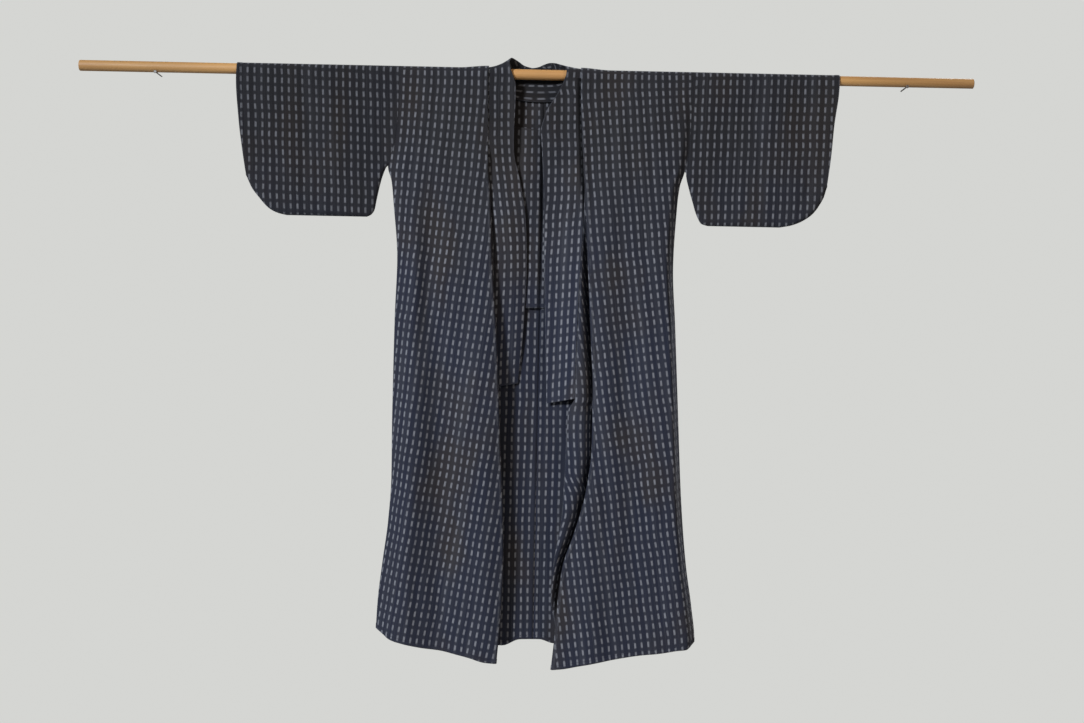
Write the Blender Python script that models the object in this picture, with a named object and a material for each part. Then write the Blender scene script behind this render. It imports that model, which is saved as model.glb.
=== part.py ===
# Kimono-cut haori spread on a wooden rod that rests on two nails.
# Metres, +Z up. +X is the viewer's right, -Y faces the viewer. "Right" and "left" are the wearer's,
# so the right side lies at -X. The origin is on the rod's axis, in the middle of the neck opening.

import bisect
import math

import bmesh
import bpy

WALL = 0.0012              # cloth, as a wall
COLLAR_WALL = 0.0024       # the collar is cloth folded several times
GAP = 0.00035              # between two pieces that are sewn or laid together
ARMHOLE_GAP = 0.0009       # wider, because the cloth turns at the armhole

ROD_LEFT_X = 0.939
ROD_RIGHT_X = -0.984
ROD_RADIUS = 0.0110        # at the neck
ROD_TAPER = 0.0006         # radius lost per metre towards +X
ROD_SIDES = 32
ROD_EDGE = 0.0008          # rounding of the sawn ends
NAIL_X = {"right": -0.817, "left": 0.793}
NAIL_SIDES = 16
NAIL_RADIUS = 0.0014
NAIL_HEAD_RADIUS = 0.0035
NAIL_HEAD_THICKNESS = 0.0012
NAIL_FRONT_Y = -0.019
NAIL_BACK_Y = 0.042

HANG_CLEARANCE = 0.0012    # cloth's middle to the rod's surface
ROD_BLEND = 0.06           # the cloth leaves the rod's roundness over this drop
NECK_LIFT = 0.0044         # the body cloth rises by this over the collar's sewn edge
NECK_LIFT_WIDTH = 0.065
SIDE_BLEND = {"right": 0.045, "left": 0.018}     # from the seams' depth at the side to the full depth
FOLD_FADE = 0.015          # folds fade towards the side seam
SLEEVE_FOLD_FADE = 0.02    # and towards the cuff
ARMHOLE_BLEND = 0.05       # the sleeve leaves the body's depth over this width
CUFF_ROUND = 0.014         # roundness of the sleeve's closed edges
SLEEVE_ROUND = 0.012
COLLAR_SWELL = {"right": 0.004, "left": -0.002}  # the middle of the collar's band stands out by this
COLLAR_LOOSE_Z = -0.240    # below this the band leaves the front and lies over the back
OVER_ROD_STEPS = 4         # rows in a quarter turn over the rod

UNDERARM_Z = -0.205
CUFF_END_Z = -0.234        # the sleeve is sewn shut below this
BACK_SEAM_X = 0.017
BACK_NECK_Z = -0.046       # middle of the neck seam at the back
BACK_NECK_CORNER_Z = -0.030

RETURN_RADIUS = 0.0045     # fold at a front's inner edge
RETURN_RUN = 0.004
RETURN_TOP_Z = -0.205
OVERLAP_TOP_Z = -0.225
LAP_OFFSET = WALL / 2 + GAP + COLLAR_WALL / 2


def table(columns, *rows):
    names = columns.split()
    return {name: [row[k] for row in rows] for k, name in enumerate(names)}


# Outline of the body seen from the front: armhole seam above the underarm, side seam below it
BODY_SIDE = table(
    "z        right    left",
    (-1.240, -0.323,  0.357),
    (-1.209, -0.322,  0.363),
    (-1.137, -0.319,  0.355),
    (-1.051, -0.310,  0.342),
    (-0.965, -0.300,  0.333),
    (-0.870, -0.295,  0.326),
    (-0.740, -0.296,  0.319),
    (-0.534, -0.295,  0.308),
    (-0.410, -0.292,  0.301),
    (-0.276, -0.303,  0.307),
    (-0.233, -0.308,  0.312),
    (-0.205, -0.316,  0.321),
    (-0.150, -0.302,  0.331),
    (-0.085, -0.296,  0.333),
    ( 0.020, -0.295,  0.333),
)

# Inner folded edge of each front
FRONT_EDGE = table(
    "z        right    left",
    (-1.275, -0.062,  0.056),
    (-1.200, -0.0565, 0.063),
    (-1.127, -0.0525, 0.068),
    (-1.054, -0.0505, 0.077),
    (-0.983, -0.0520, 0.100),
    (-0.889, -0.0565, 0.124),
    (-0.795, -0.0620, 0.134),
    (-0.681, -0.0680, 0.134),
    (-0.592, -0.0730, 0.129),
    (-0.409, -0.0870, 0.118),
    (-0.275, -0.0940, 0.111),
    (-0.196, -0.1000, 0.104),
    (-0.057, -0.1030, 0.096),
    ( 0.020, -0.1040, 0.094),
)

# Hems from below the side seam to the inner edge
FRONT_HEM = table(
    "share    right    left",
    (0.00,  -1.196,  -1.212),
    (0.06,  -1.206,  -1.226),
    (0.12,  -1.217,  -1.228),
    (0.22,  -1.224,  -1.234),
    (0.40,  -1.234,  -1.241),
    (0.60,  -1.242,  -1.252),
    (0.80,  -1.253,  -1.264),
    (0.92,  -1.261,  -1.272),
    (1.00,  -1.263,  -1.275),
)
BACK_HEM = table(
    "x        z",
    (-0.322, -1.196),
    (-0.250, -1.214),
    (-0.150, -1.222),
    (-0.050, -1.230),
    (-0.012, -1.216),
    ( 0.030, -1.216),
    ( 0.060, -1.224),
    ( 0.200, -1.226),
    ( 0.300, -1.220),
    ( 0.363, -1.212),
)

# How far the cloth hangs from the rod's plane: at the armhole, over the front and over the back
HANG_DEPTH = table(
    "z       seam    front   back   round",
    (-1.280, 0.012,  0.0245, 0.011,  0.022),
    (-0.800, 0.011,  0.0235, 0.012,  0.020),
    (-0.400, 0.009,  0.0210, 0.013,  0.018),
    (-0.205, 0.0055, 0.0180, 0.0135, 0.012),
    (-0.100, 0.0090, 0.0160, 0.0135, 0.012),
    ( 0.000, 0.0125, 0.0125, 0.0125, 0.012),
)

# Soft troughs (+) and ridges (-) of the body, in metres away from the viewer.
# A fold runs from its top point to its bottom point and fades at both ends.
BODY_FOLDS = table(
    "layer  side     x_top  z_top   x_low  z_low  width  depth",
    ("front", "right", -0.214, -0.200, -0.228, -0.640, 0.020,  0.011),
    ("front", "right", -0.199, -0.440, -0.176, -1.440, 0.028,  0.010),
    ("front", "right", -0.242, -0.400, -0.254, -1.440, 0.030, -0.013),
    ("front", "right", -0.104, -0.300, -0.088, -1.440, 0.046, -0.015),
    ("front", "left",   0.180, -0.230,  0.245, -1.300, 0.028,  0.003),
    ("front", "left",   0.148, -0.200,  0.190, -1.150, 0.026, -0.006),
    ("front", "left",   0.285, -0.220,  0.318, -1.440, 0.055, -0.009),
    ("front", "left",   0.142, -0.800,  0.130, -1.440, 0.036, -0.009),
    ("back",  "right", -0.030, -0.020, -0.030, -0.340, 0.026, -0.006),
    ("back",  "right", -0.045, -0.660, -0.040, -1.420, 0.050, -0.009),
    ("back",  "right", -0.205, -0.330, -0.215, -1.360, 0.045, -0.006),
    ("back",  "right", -0.120, -0.560, -0.115, -1.360, 0.030,  0.007),
    ("back",  "left",   0.105, -0.420,  0.120, -1.360, 0.040, -0.006),
    ("back",  "left",   0.225, -0.640,  0.250, -1.360, 0.040,  0.009),
)

# Outline of the sleeves from the front, below the cuff and the underarm, down to the rounded corners
SLEEVE_RIGHT = table(
    "z        cuff     inner",
    (-0.3125, -0.532, -0.360),
    (-0.308, -0.552, -0.351),
    (-0.298, -0.571, -0.344),
    (-0.277, -0.591, -0.340),
    (-0.252, -0.610, -0.335),
    (-0.226, -0.620, -0.3285),
    (-0.205, -0.624, -0.3205),
    (-0.175, -0.629, -0.300),
    (-0.110, -0.638, -0.300),
    (-0.020, -0.645, -0.300),
    ( 0.020, -0.643, -0.300),
)
SLEEVE_LEFT = table(
    "z        cuff     inner",
    (-0.3175,  0.528,  0.374),
    (-0.313,  0.552,  0.360),
    (-0.304,  0.575,  0.354),
    (-0.288,  0.598,  0.347),
    (-0.268,  0.613,  0.341),
    (-0.245,  0.624,  0.334),
    (-0.205,  0.630,  0.3255),
    (-0.161,  0.635,  0.330),
    (-0.097,  0.640,  0.330),
    (-0.020,  0.649,  0.330),
    ( 0.020,  0.650,  0.330),
)
SLEEVE = {"right": SLEEVE_RIGHT, "left": SLEEVE_LEFT}
SLEEVE_DEPTH = table(
    "z       half",
    (-0.320, 0.0085),
    (-0.200, 0.0095),
    (-0.100, 0.0105),
    ( 0.000, 0.0125),
)
SLEEVE_FOLDS = table(
    "layer  side     x_top  z_top   x_low  z_low  width  depth",
    ("front", "right", -0.480, -0.020, -0.482, -0.360, 0.030,  0.0045),
    ("front", "right", -0.405, -0.030, -0.400, -0.240, 0.018,  0.0025),
    ("front", "right", -0.610, -0.090, -0.560, -0.230, 0.026,  0.0040),
    ("front", "right", -0.350, -0.120, -0.362, -0.330, 0.018,  0.0035),
    ("front", "left",   0.474, -0.030,  0.470, -0.260, 0.028,  0.0045),
    ("front", "left",   0.566, -0.010,  0.570, -0.130, 0.020,  0.0030),
    ("front", "left",   0.400, -0.060,  0.392, -0.330, 0.026,  0.0030),
    ("back",  "right", -0.520, -0.040, -0.500, -0.330, 0.030, -0.0040),
    ("back",  "right", -0.400, -0.060, -0.420, -0.330, 0.024, -0.0030),
    ("back",  "left",   0.500, -0.040,  0.520, -0.330, 0.030, -0.0040),
    ("back",  "left",   0.410, -0.080,  0.400, -0.330, 0.022, -0.0030),
)

# Collar bands on the fronts: sewn edge and free edge
COLLAR_FRONT = table(
    "z        right_sewn right_free left_sewn left_free",
    (-0.707, -0.0875,   -0.0290,   0.0950,   0.0350),
    (-0.664, -0.0870,   -0.0270,   0.0955,   0.0335),
    (-0.550, -0.0850,   -0.0180,   0.0975,   0.0290),
    (-0.410, -0.0830,   -0.0130,   0.1020,   0.0240),
    (-0.310, -0.0900,   -0.0180,   0.1060,   0.0210),
    (-0.236, -0.1000,   -0.0300,   0.1070,   0.0185),
    (-0.161, -0.1080,   -0.0460,   0.1050,   0.0140),
    (-0.124, -0.1100,   -0.0465,   0.1030,   0.0110),
    (-0.078, -0.1105,   -0.0450,   0.1020,   0.0230),
    (-0.046, -0.1110,   -0.0445,   0.1015,   0.0420),
    (-0.024, -0.1108,   -0.0450,   0.1012,   0.0540),
    (-0.008, -0.1105,   -0.0500,   0.1010,   0.0600),
)
COLLAR_END = table(
    "corner  right   left",
    ("sewn", -0.675, -0.695),
    ("free", -0.665, -0.707),
)
# How far the band's middle lies behind the front's, at the top
COLLAR_LAYER = table(
    "z       offset",
    (-0.240, 0.0120),
    (-0.200, 0.0114),
    (-0.150, LAP_OFFSET),
    (-0.060, LAP_OFFSET),
    ( 0.000, LAP_OFFSET + 0.0008),
)

# Depth of what lies behind the fronts below the chest: under them, what is added past their inner
# edges, and at the band's free edge
BEHIND_DEPTH = table(
    "z        right_under left_under right_past left_past right_free left_free",
    (-1.280,  0.000,      0.000,     0.000,    -0.010,    0.000,     0.000),
    (-1.100,  0.000,      0.001,     0.000,    -0.020,    0.000,     0.000),
    (-0.900,  0.000,      0.001,     0.000,    -0.024,    0.000,     0.000),
    (-0.700, -0.003,      0.003,     0.000,    -0.025,    0.013,     0.019),
    (-0.500, -0.009,      0.003,     0.000,    -0.024,    0.013,     0.018),
    (-0.360, -0.010,     -0.001,     0.000,    -0.018,    0.010,     0.013),
    (-0.220, -0.011,     -0.006,     0.000,    -0.006,    0.002,     0.002),
    (-0.100, -0.012,     -0.010,     0.000,     0.000,    0.002,     0.002),
)

# Collar round the neck, from the right front over the rod, behind it and back to the left front.
# Each row is a section: its sewn edge, by its turn round the rod (0 in front, 90 on top, 180 behind) or its
# drop below the rod at the back, the rise of its middle, and its free edge.
COLLAR_NECK = table(
    "sewn_x  turn drop    rise     free_x   free_y   free_z",
    (-0.1105,   4, 0.000,  0.0000, -0.0530, -0.0150,  0.0000),
    (-0.1105,  28, 0.000,  0.0000, -0.0570, -0.0160,  0.0100),
    (-0.1100,  58, 0.000, -0.0030, -0.0590, -0.0120,  0.0260),
    (-0.1095,  88, 0.000, -0.0060, -0.0550, -0.0010,  0.0352),
    (-0.1085, 118, 0.000, -0.0060, -0.0470,  0.0090,  0.0335),
    (-0.1070, 148, 0.000, -0.0060, -0.0380,  0.0150,  0.0290),
    (-0.1030, 180, 0.000, -0.0030, -0.0290,  0.0175,  0.0230),
    (-0.0850, 180, 0.040,  0.0000, -0.0180,  0.0185,  0.0195),
    (-0.0400, 180, 0.054,  0.0000, -0.0080,  0.0185,  0.0180),
    ( 0.0050, 180, 0.058,  0.0000,  0.0040,  0.0180,  0.0205),
    ( 0.0500, 180, 0.054,  0.0000,  0.0150,  0.0175,  0.0255),
    ( 0.0800, 180, 0.040,  0.0000,  0.0260,  0.0160,  0.0290),
    ( 0.0950, 180, 0.000, -0.0030,  0.0370,  0.0130,  0.0285),
    ( 0.0985, 148, 0.000, -0.0040,  0.0470,  0.0080,  0.0250),
    ( 0.1000, 118, 0.000,  0.0000,  0.0550,  0.0000,  0.0210),
    ( 0.1010,  88, 0.000,  0.0000,  0.0600, -0.0080,  0.0165),
    ( 0.1015,  58, 0.000,  0.0000,  0.0630, -0.0145,  0.0100),
    ( 0.1015,  28, 0.000,  0.0000,  0.0630, -0.0158,  0.0030),
    ( 0.1013,   4, 0.000,  0.0000,  0.0620, -0.0150, -0.0030),
)

# Overlap panels: reach of the hidden fold behind the front's edge, and their inner edge below the collar
OVERLAP_REACH = table(
    "z        right  left",
    (-1.280,  0.083, 0.083),
    (-0.950,  0.084, 0.082),
    (-0.900,  0.084, 0.076),
    (-0.850,  0.083, 0.062),
    (-0.740,  0.081, 0.057),
    (-0.690,  0.078, 0.059),
    (-0.550,  0.058, 0.049),
    (-0.410,  0.030, 0.032),
    (-0.310,  0.020, 0.022),
    (-0.225,  0.017, 0.017),
)
OVERLAP_EDGE = table(
    "z        right    left",
    (-1.280, -0.080,  0.072),
    (-1.200, -0.076,  0.066),
    (-1.120, -0.068,  0.053),
    (-1.050, -0.066,  0.057),
    (-0.950, -0.068,  0.072),
    (-0.850, -0.071,  0.077),
    (-0.740, -0.076,  0.081),
    (-0.690, -0.084,  0.086),
)
OVERLAP_SEAM = 0.0009      # overlap panel to the collar's sewn edge
OVERLAP_HEM_RISE = 0.003   # the overlap's hem lies this much above the front's
OVERLAP_LEVEL_Z = -0.72    # above this the overlap's rows are level
OVERLAP_TURN = 0.007       # the hidden fold's size is read this far inside its reach
OVERLAP_STEP = 0.022       # the panel's inner edge begins this far below the collar's end

# Patch inside the back: its outline, and the soft pleat beside the centre seam
PATCH_TOP = table("x  z", (-0.140, -0.098), (0.017, -0.120), (0.150, -0.138))
PATCH_LOW_Z = -0.502
PATCH_ROWS = 8
PATCH_PLEAT = table(
    "x        forward",
    (-0.140,  0.0005),
    (-0.090,  0.0010),
    (-0.045,  0.0030),
    (-0.015,  0.0060),
    ( 0.002,  0.0080),
    ( 0.0095, 0.0082),
    ( 0.0125, 0.0070),
    ( 0.0150, 0.0015),
    ( 0.018,  0.0005),
    ( 0.026,  0.0012),
    ( 0.060,  0.0030),
    ( 0.100,  0.0015),
    ( 0.150,  0.0005),
)

# Rows of the body below the rod, and where its columns lie between side and inner edge
BODY_ROWS = (-0.030, -0.075, -0.125, -0.170, UNDERARM_Z, -0.240, -0.290, -0.350, -0.420, -0.500, -0.580,
             -0.660, -0.740, -0.820, -0.900, -0.980, -1.050, -1.120, -1.175, -1.240)
BODY_SHARES = (0, 0.008, 0.025, 0.060, 0.12, 0.20, 0.29, 0.39, 0.49, 0.59, 0.69, 0.79, 0.90, 1)
BACK_COLUMNS = 5           # between the neck's corner and the centre-back seam
SLEEVE_ROWS = (-0.030, -0.075, -0.125, -0.170, UNDERARM_Z, CUFF_END_Z, -0.262, -0.286, -0.303, -0.314)
SLEEVE_SHARES = (0, 0.006, 0.020, 0.05, 0.12, 0.22, 0.34, 0.46, 0.58, 0.70, 0.82, 0.91, 0.96, 0.99, 1)

SIDE_SIGN = {"right": -1, "left": 1}
LAYER_SIGN = {"front": -1, "back": 1}

CLOTH = ((0.045, 0.047, 0.058, 1), 0.85, 0.0)
WOOD = ((0.55, 0.36, 0.19, 1), 0.55, 0.0)
STEEL = ((0.35, 0.34, 0.33, 1), 0.40, 1.0)


def smooth_value(xs, ys, x):
    # Cubic through the rows that never overshoots them
    if x <= xs[0]:
        return ys[0]
    if x >= xs[-1]:
        return ys[-1]
    steps = [(ys[k + 1] - ys[k]) / (xs[k + 1] - xs[k]) for k in range(len(xs) - 1)]

    def slope(k):
        if k == 0 or k == len(xs) - 1:
            return steps[min(k, len(steps) - 1)]
        before, after = steps[k - 1], steps[k]
        return 2 * before * after / (before + after) if before * after > 0 else 0.0

    k = bisect.bisect_right(xs, x) - 1
    span = xs[k + 1] - xs[k]
    s = (x - xs[k]) / span
    rise = s * s * (3 - 2 * s)
    return (ys[k] * (1 - rise) + ys[k + 1] * rise
            + span * slope(k) * s * (1 - s) ** 2 - span * slope(k + 1) * s * s * (1 - s))


def read(data, column, at, key="z"):
    return smooth_value(data[key], data[column], at)


def ease(value):
    value = min(max(value, 0.0), 1.0)
    return value * value * (3 - 2 * value)


def lerp(a, b, share):
    return a + (b - a) * share


def rounding(distance, width):
    # Quarter circle from 0 at an edge to 1 at this width from it
    turn = min(max(distance / width, 0.0), 1.0)
    return math.sqrt(1 - (1 - turn) ** 2)


def rod_radius(x):
    return ROD_RADIUS - ROD_TAPER * x


def hang_radius(x):
    # Radius of the cloth's middle over the rod, larger where the collar's sewn edge lies under it
    lift = 0.0
    for side in SIDE_SIGN:
        lift = max(lift, 1 - ease(abs(x - read(FRONT_EDGE, side, 0.0)) / NECK_LIFT_WIDTH))
    return rod_radius(x) + HANG_CLEARANCE + NECK_LIFT * lift


def fold_depth(folds, layer, side, x, z):
    # The back's two halves share their folds, so that the seam between them stays closed
    depth = 0.0
    for k, fold_layer in enumerate(folds["layer"]):
        if fold_layer != layer or (layer == "front" and folds["side"][k] != side):
            continue
        along = (folds["z_top"][k] - z) / (folds["z_top"][k] - folds["z_low"][k])
        if 0 < along < 1:
            middle = lerp(folds["x_top"][k], folds["x_low"][k], along)
            across = (x - middle) / folds["width"][k]
            depth += folds["depth"][k] * math.sin(math.pi * along) ** 0.7 * math.exp(-across * across)
    return depth


def body_y(layer, side, x, z):
    # Middle of the body cloth at a place on its front or back
    sign = LAYER_SIGN[layer]
    edge = read(BODY_SIDE, side, z)
    inward = abs(x - edge)
    seam_half = read(HANG_DEPTH, "seam", z)
    full_half = read(HANG_DEPTH, layer, z)
    at_rod = ease(1 + z / ROD_BLEND)
    half = lerp(seam_half, full_half, ease(inward / SIDE_BLEND[side]))
    half = lerp(half, hang_radius(x), at_rod)
    half += sign * fold_depth(BODY_FOLDS, layer, side, x, z) * ease(inward / FOLD_FADE)
    if z <= UNDERARM_Z:
        half *= rounding(inward, read(HANG_DEPTH, "round", z))
    return sign * half


def sleeve_y(layer, side, x, z):
    sign = LAYER_SIGN[layer]
    outline = SLEEVE[side]
    from_cuff = abs(x - read(outline, "cuff", z))
    from_seam = abs(x - sleeve_inner(side, z))
    half = lerp(read(SLEEVE_DEPTH, "half", z), hang_radius(x), ease(1 + z / ROD_BLEND))
    half += sign * fold_depth(SLEEVE_FOLDS, layer, side, x, z) * ease(from_cuff / SLEEVE_FOLD_FADE)
    if z > UNDERARM_Z:
        body_half = abs(body_y(layer, side, read(BODY_SIDE, side, z), z))
        half = lerp(body_half, half, ease(from_seam / ARMHOLE_BLEND))
    closing = rounding(z - outline["z"][0], SLEEVE_ROUND)
    if z <= CUFF_END_Z:
        closing = min(closing, rounding(from_cuff, CUFF_ROUND))
    if z <= UNDERARM_Z:
        closing = min(closing, rounding(from_seam, SLEEVE_ROUND))
    return sign * half * closing


def sleeve_inner(side, z):
    if z > UNDERARM_Z:
        return read(BODY_SIDE, side, z) + SIDE_SIGN[side] * ARMHOLE_GAP
    return read(SLEEVE[side], "inner", z)


def over_rod(layer, x, step):
    # Point on the quarter turn from the rod's top (step 0) to its front or back
    angle = math.radians(90 - 90 * step / OVER_ROD_STEPS)
    radius = hang_radius(x)
    return (x, LAYER_SIGN[layer] * radius * math.cos(angle), radius * math.sin(angle))


def make_material(name, finish):
    colour, roughness, metallic = finish
    material = bpy.data.materials.new(name)
    material.use_nodes = True
    shader = material.node_tree.nodes["Principled BSDF"]
    shader.inputs["Base Color"].default_value = colour
    shader.inputs["Roughness"].default_value = roughness
    shader.inputs["Metallic"].default_value = metallic
    material.diffuse_color = colour
    return material


def add_object(name, mesh, finish):
    obj = bpy.data.objects.new(name, mesh)
    bpy.context.scene.collection.objects.link(obj)
    mesh.materials.append(make_material(name, finish))
    mesh.shade_smooth()
    mesh.set_sharp_from_angle(angle=math.radians(50))
    return obj


def add_cloth(name, points, faces, wall=WALL):
    # A sheet through the cloth's middle, thickened to a wall
    mesh = bpy.data.meshes.new(name)
    mesh.from_pydata(points, [], faces)
    shape = bmesh.new()
    shape.from_mesh(mesh)
    bmesh.ops.recalc_face_normals(shape, faces=shape.faces)
    shape.to_mesh(mesh)
    shape.free()
    obj = add_object(name, mesh, CLOTH)
    thick = obj.modifiers.new("cloth wall", "SOLIDIFY")
    thick.thickness = wall
    thick.offset = 0
    thick.use_even_offset = True
    return obj


class Sheet:
    # Vertices by name, so that layers share them where the cloth is folded
    def __init__(self):
        self.points = []
        self.index = {}
        self.faces = []

    def put(self, key, point):
        if key not in self.index:
            self.index[key] = len(self.points)
            self.points.append(point)

    def quad(self, *keys):
        corners = []
        for key in keys:
            if self.index[key] not in corners:
                corners.append(self.index[key])
        if len(corners) > 2:
            self.faces.append(corners)


def grid_sheet(name, rows, wall=WALL):
    sheet = Sheet()
    for j, row in enumerate(rows):
        for i, point in enumerate(row):
            sheet.put((i, j), point)
    for j in range(len(rows) - 1):
        for i in range(len(rows[0]) - 1):
            sheet.quad((i, j), (i + 1, j), (i + 1, j + 1), (i, j + 1))
    return add_cloth(name, sheet.points, sheet.faces, wall)


def body_row_z(row_z, hem_z):
    # Rows below the underarm stretch so that the last one lies on the hem
    if row_z >= UNDERARM_Z:
        return row_z
    return UNDERARM_Z + (row_z - UNDERARM_Z) * (hem_z - UNDERARM_Z) / (BODY_ROWS[-1] - UNDERARM_Z)


def front_point(side, share, row_z):
    z = body_row_z(row_z, read(FRONT_HEM, side, share, "share"))
    inner = read(FRONT_EDGE, side, z)
    if z <= RETURN_TOP_Z:
        inner += SIDE_SIGN[side] * RETURN_RADIUS
    x = lerp(read(BODY_SIDE, side, z), inner, share)
    return (x, body_y("front", side, x, z), z)


def back_point(side, share, row_z):
    inner = read(FRONT_EDGE, side, 0.0)
    hem_x = lerp(read(BODY_SIDE, side, FRONT_HEM[side][0]), inner, share)
    z = body_row_z(row_z, read(BACK_HEM, "z", hem_x, "x") if share else FRONT_HEM[side][0])
    x = lerp(read(BODY_SIDE, side, z), inner, share)
    return (x, body_y("back", side, x, z), z)


def return_points(side, row_z):
    # The front's inner edge folded back on itself
    x, y, z = front_point(side, 1, row_z)
    outward = SIDE_SIGN[side]
    points = []
    for degrees in (45, 90, 135, 180):
        angle = math.radians(degrees)
        points.append((x - outward * RETURN_RADIUS * math.sin(angle),
                       y + RETURN_RADIUS * (1 - math.cos(angle)), z))
    points.append((x + outward * RETURN_RUN, front_layer_y(side, x + outward * RETURN_RUN, z)
                   + 2 * RETURN_RADIUS, z))
    return points


def front_layer_y(side, x, z):
    # The front's own surface, held level past its inner edge
    edge = read(FRONT_EDGE, side, z) + SIDE_SIGN[side] * RETURN_RADIUS
    if (x - edge) * SIDE_SIGN[side] < 0:
        x = edge
    return body_y("front", side, x, z)


def behind_front_y(side, x, z):
    # What lies behind the front: against its inside at the top, near the back under it lower down,
    # and nearer the viewer past its inner edge
    past = (read(FRONT_EDGE, side, z) - x) * SIDE_SIGN[side]
    swell = ease(past / 0.020) * (1 - 0.7 * ease((past - 0.020) / 0.050))
    low = read(BEHIND_DEPTH, side + "_under", z) + read(BEHIND_DEPTH, side + "_past", z) * swell
    high = front_layer_y(side, x, z) + read(COLLAR_LAYER, "offset", z)
    return lerp(high, low, ease((-0.22 - z) / 0.14))


def build_body(side):
    sheet = Sheet()
    last = len(BODY_SHARES) - 1
    rows = [("turn", step) for step in range(OVER_ROD_STEPS + 1)] + [("z", z) for z in BODY_ROWS]
    centre = BACK_SEAM_X + SIDE_SIGN[side] * GAP / 2
    neck_row = OVER_ROD_STEPS + 1

    def key(layer, i, j):
        joined_top = j == 0 and i <= last
        joined_side = i == 0 and rows[j][0] == "z" and rows[j][1] <= UNDERARM_Z
        return ("both", i, j) if joined_top or joined_side else (layer, i, j)

    for j, (kind, value) in enumerate(rows):
        for i, share in enumerate(BODY_SHARES):
            for layer, place in (("front", front_point), ("back", back_point)):
                if kind == "turn":
                    x = lerp(read(BODY_SIDE, side, 0.0), read(FRONT_EDGE, side, 0.0), share)
                    point = over_rod(layer, x, value)
                else:
                    point = place(side, share, value)
                sheet.put(key(layer, i, j), point)
        if kind == "z" and value <= RETURN_TOP_Z:
            for k, point in enumerate(return_points(side, value)):
                sheet.put(("front", last + 1 + k, j), point)
        if j >= neck_row:
            corner_x = read(FRONT_EDGE, side, 0.0)
            for k in range(1, BACK_COLUMNS + 1):
                across = k / BACK_COLUMNS
                x = lerp(corner_x, centre, across)
                z = body_row_z(value, read(BACK_HEM, "z", x, "x"))
                neck_z = lerp(BACK_NECK_CORNER_Z, BACK_NECK_Z, math.sin(across * math.pi / 2))
                z += (neck_z - BACK_NECK_CORNER_Z) * max(0, 1 - (j - neck_row) / 3)
                sheet.put(("back", last + k, j), (x, body_y("back", side, x, z), z))

    for j in range(len(rows) - 1):
        for i in range(last):
            for layer in ("front", "back"):
                sheet.quad(key(layer, i, j), key(layer, i + 1, j), key(layer, i + 1, j + 1),
                           key(layer, i, j + 1))
        for layer in ("front", "back"):
            i = last
            while (layer, i + 1, j) in sheet.index and (layer, i + 1, j + 1) in sheet.index:
                sheet.quad((layer, i, j), (layer, i + 1, j), (layer, i + 1, j + 1), (layer, i, j + 1))
                i += 1
    return add_cloth("body_" + side, sheet.points, sheet.faces)


def build_sleeve(side):
    sheet = Sheet()
    last = len(SLEEVE_SHARES) - 1
    low = SLEEVE[side]["z"][0]
    rows = [("turn", step) for step in range(OVER_ROD_STEPS + 1)]
    rows += [("z", z * low / SLEEVE_ROWS[-1] if z < CUFF_END_Z else z) for z in SLEEVE_ROWS]

    def key(layer, i, j):
        value = rows[j][1] if rows[j][0] == "z" else 1
        joined = (j == 0 or j == len(rows) - 1 or (i == 0 and value <= CUFF_END_Z)
                  or (i == last and value <= UNDERARM_Z))
        return ("both", i, j) if joined else (layer, i, j)

    for j, (kind, value) in enumerate(rows):
        z = 0.0 if kind == "turn" else value
        for i, share in enumerate(SLEEVE_SHARES):
            x = lerp(read(SLEEVE[side], "cuff", z), sleeve_inner(side, z), share)
            for layer in ("front", "back"):
                point = over_rod(layer, x, value) if kind == "turn" else (x, sleeve_y(layer, side, x, z), z)
                sheet.put(key(layer, i, j), point)
    for j in range(len(rows) - 1):
        for i in range(last):
            for layer in ("front", "back"):
                sheet.quad(key(layer, i, j), key(layer, i + 1, j), key(layer, i + 1, j + 1),
                           key(layer, i, j + 1))
    return add_cloth("sleeve_" + side, sheet.points, sheet.faces)


def overlap_place(side, distance, z):
    # A place behind the front at this distance from its inner edge.
    # Rows rise outwards as the front's hem does.
    low = FRONT_HEM[side][-1]
    if distance > 0:
        width = abs(read(BODY_SIDE, side, z) - read(FRONT_EDGE, side, z))
        rise = read(FRONT_HEM, side, 1 - distance / width, "share") - low
        rise += OVERLAP_HEM_RISE * ease(distance / 0.04)
        z += rise * max(0.0, (z - OVERLAP_LEVEL_Z) / (low - OVERLAP_LEVEL_Z))
    return read(FRONT_EDGE, side, z) + SIDE_SIGN[side] * distance, z


def overlap_end_x(side, z):
    if z > COLLAR_END[side][0] - OVERLAP_STEP / 2:
        return read(COLLAR_FRONT, side + "_sewn", z) + SIDE_SIGN[side] * OVERLAP_SEAM
    return read(OVERLAP_EDGE, side, z)


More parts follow.
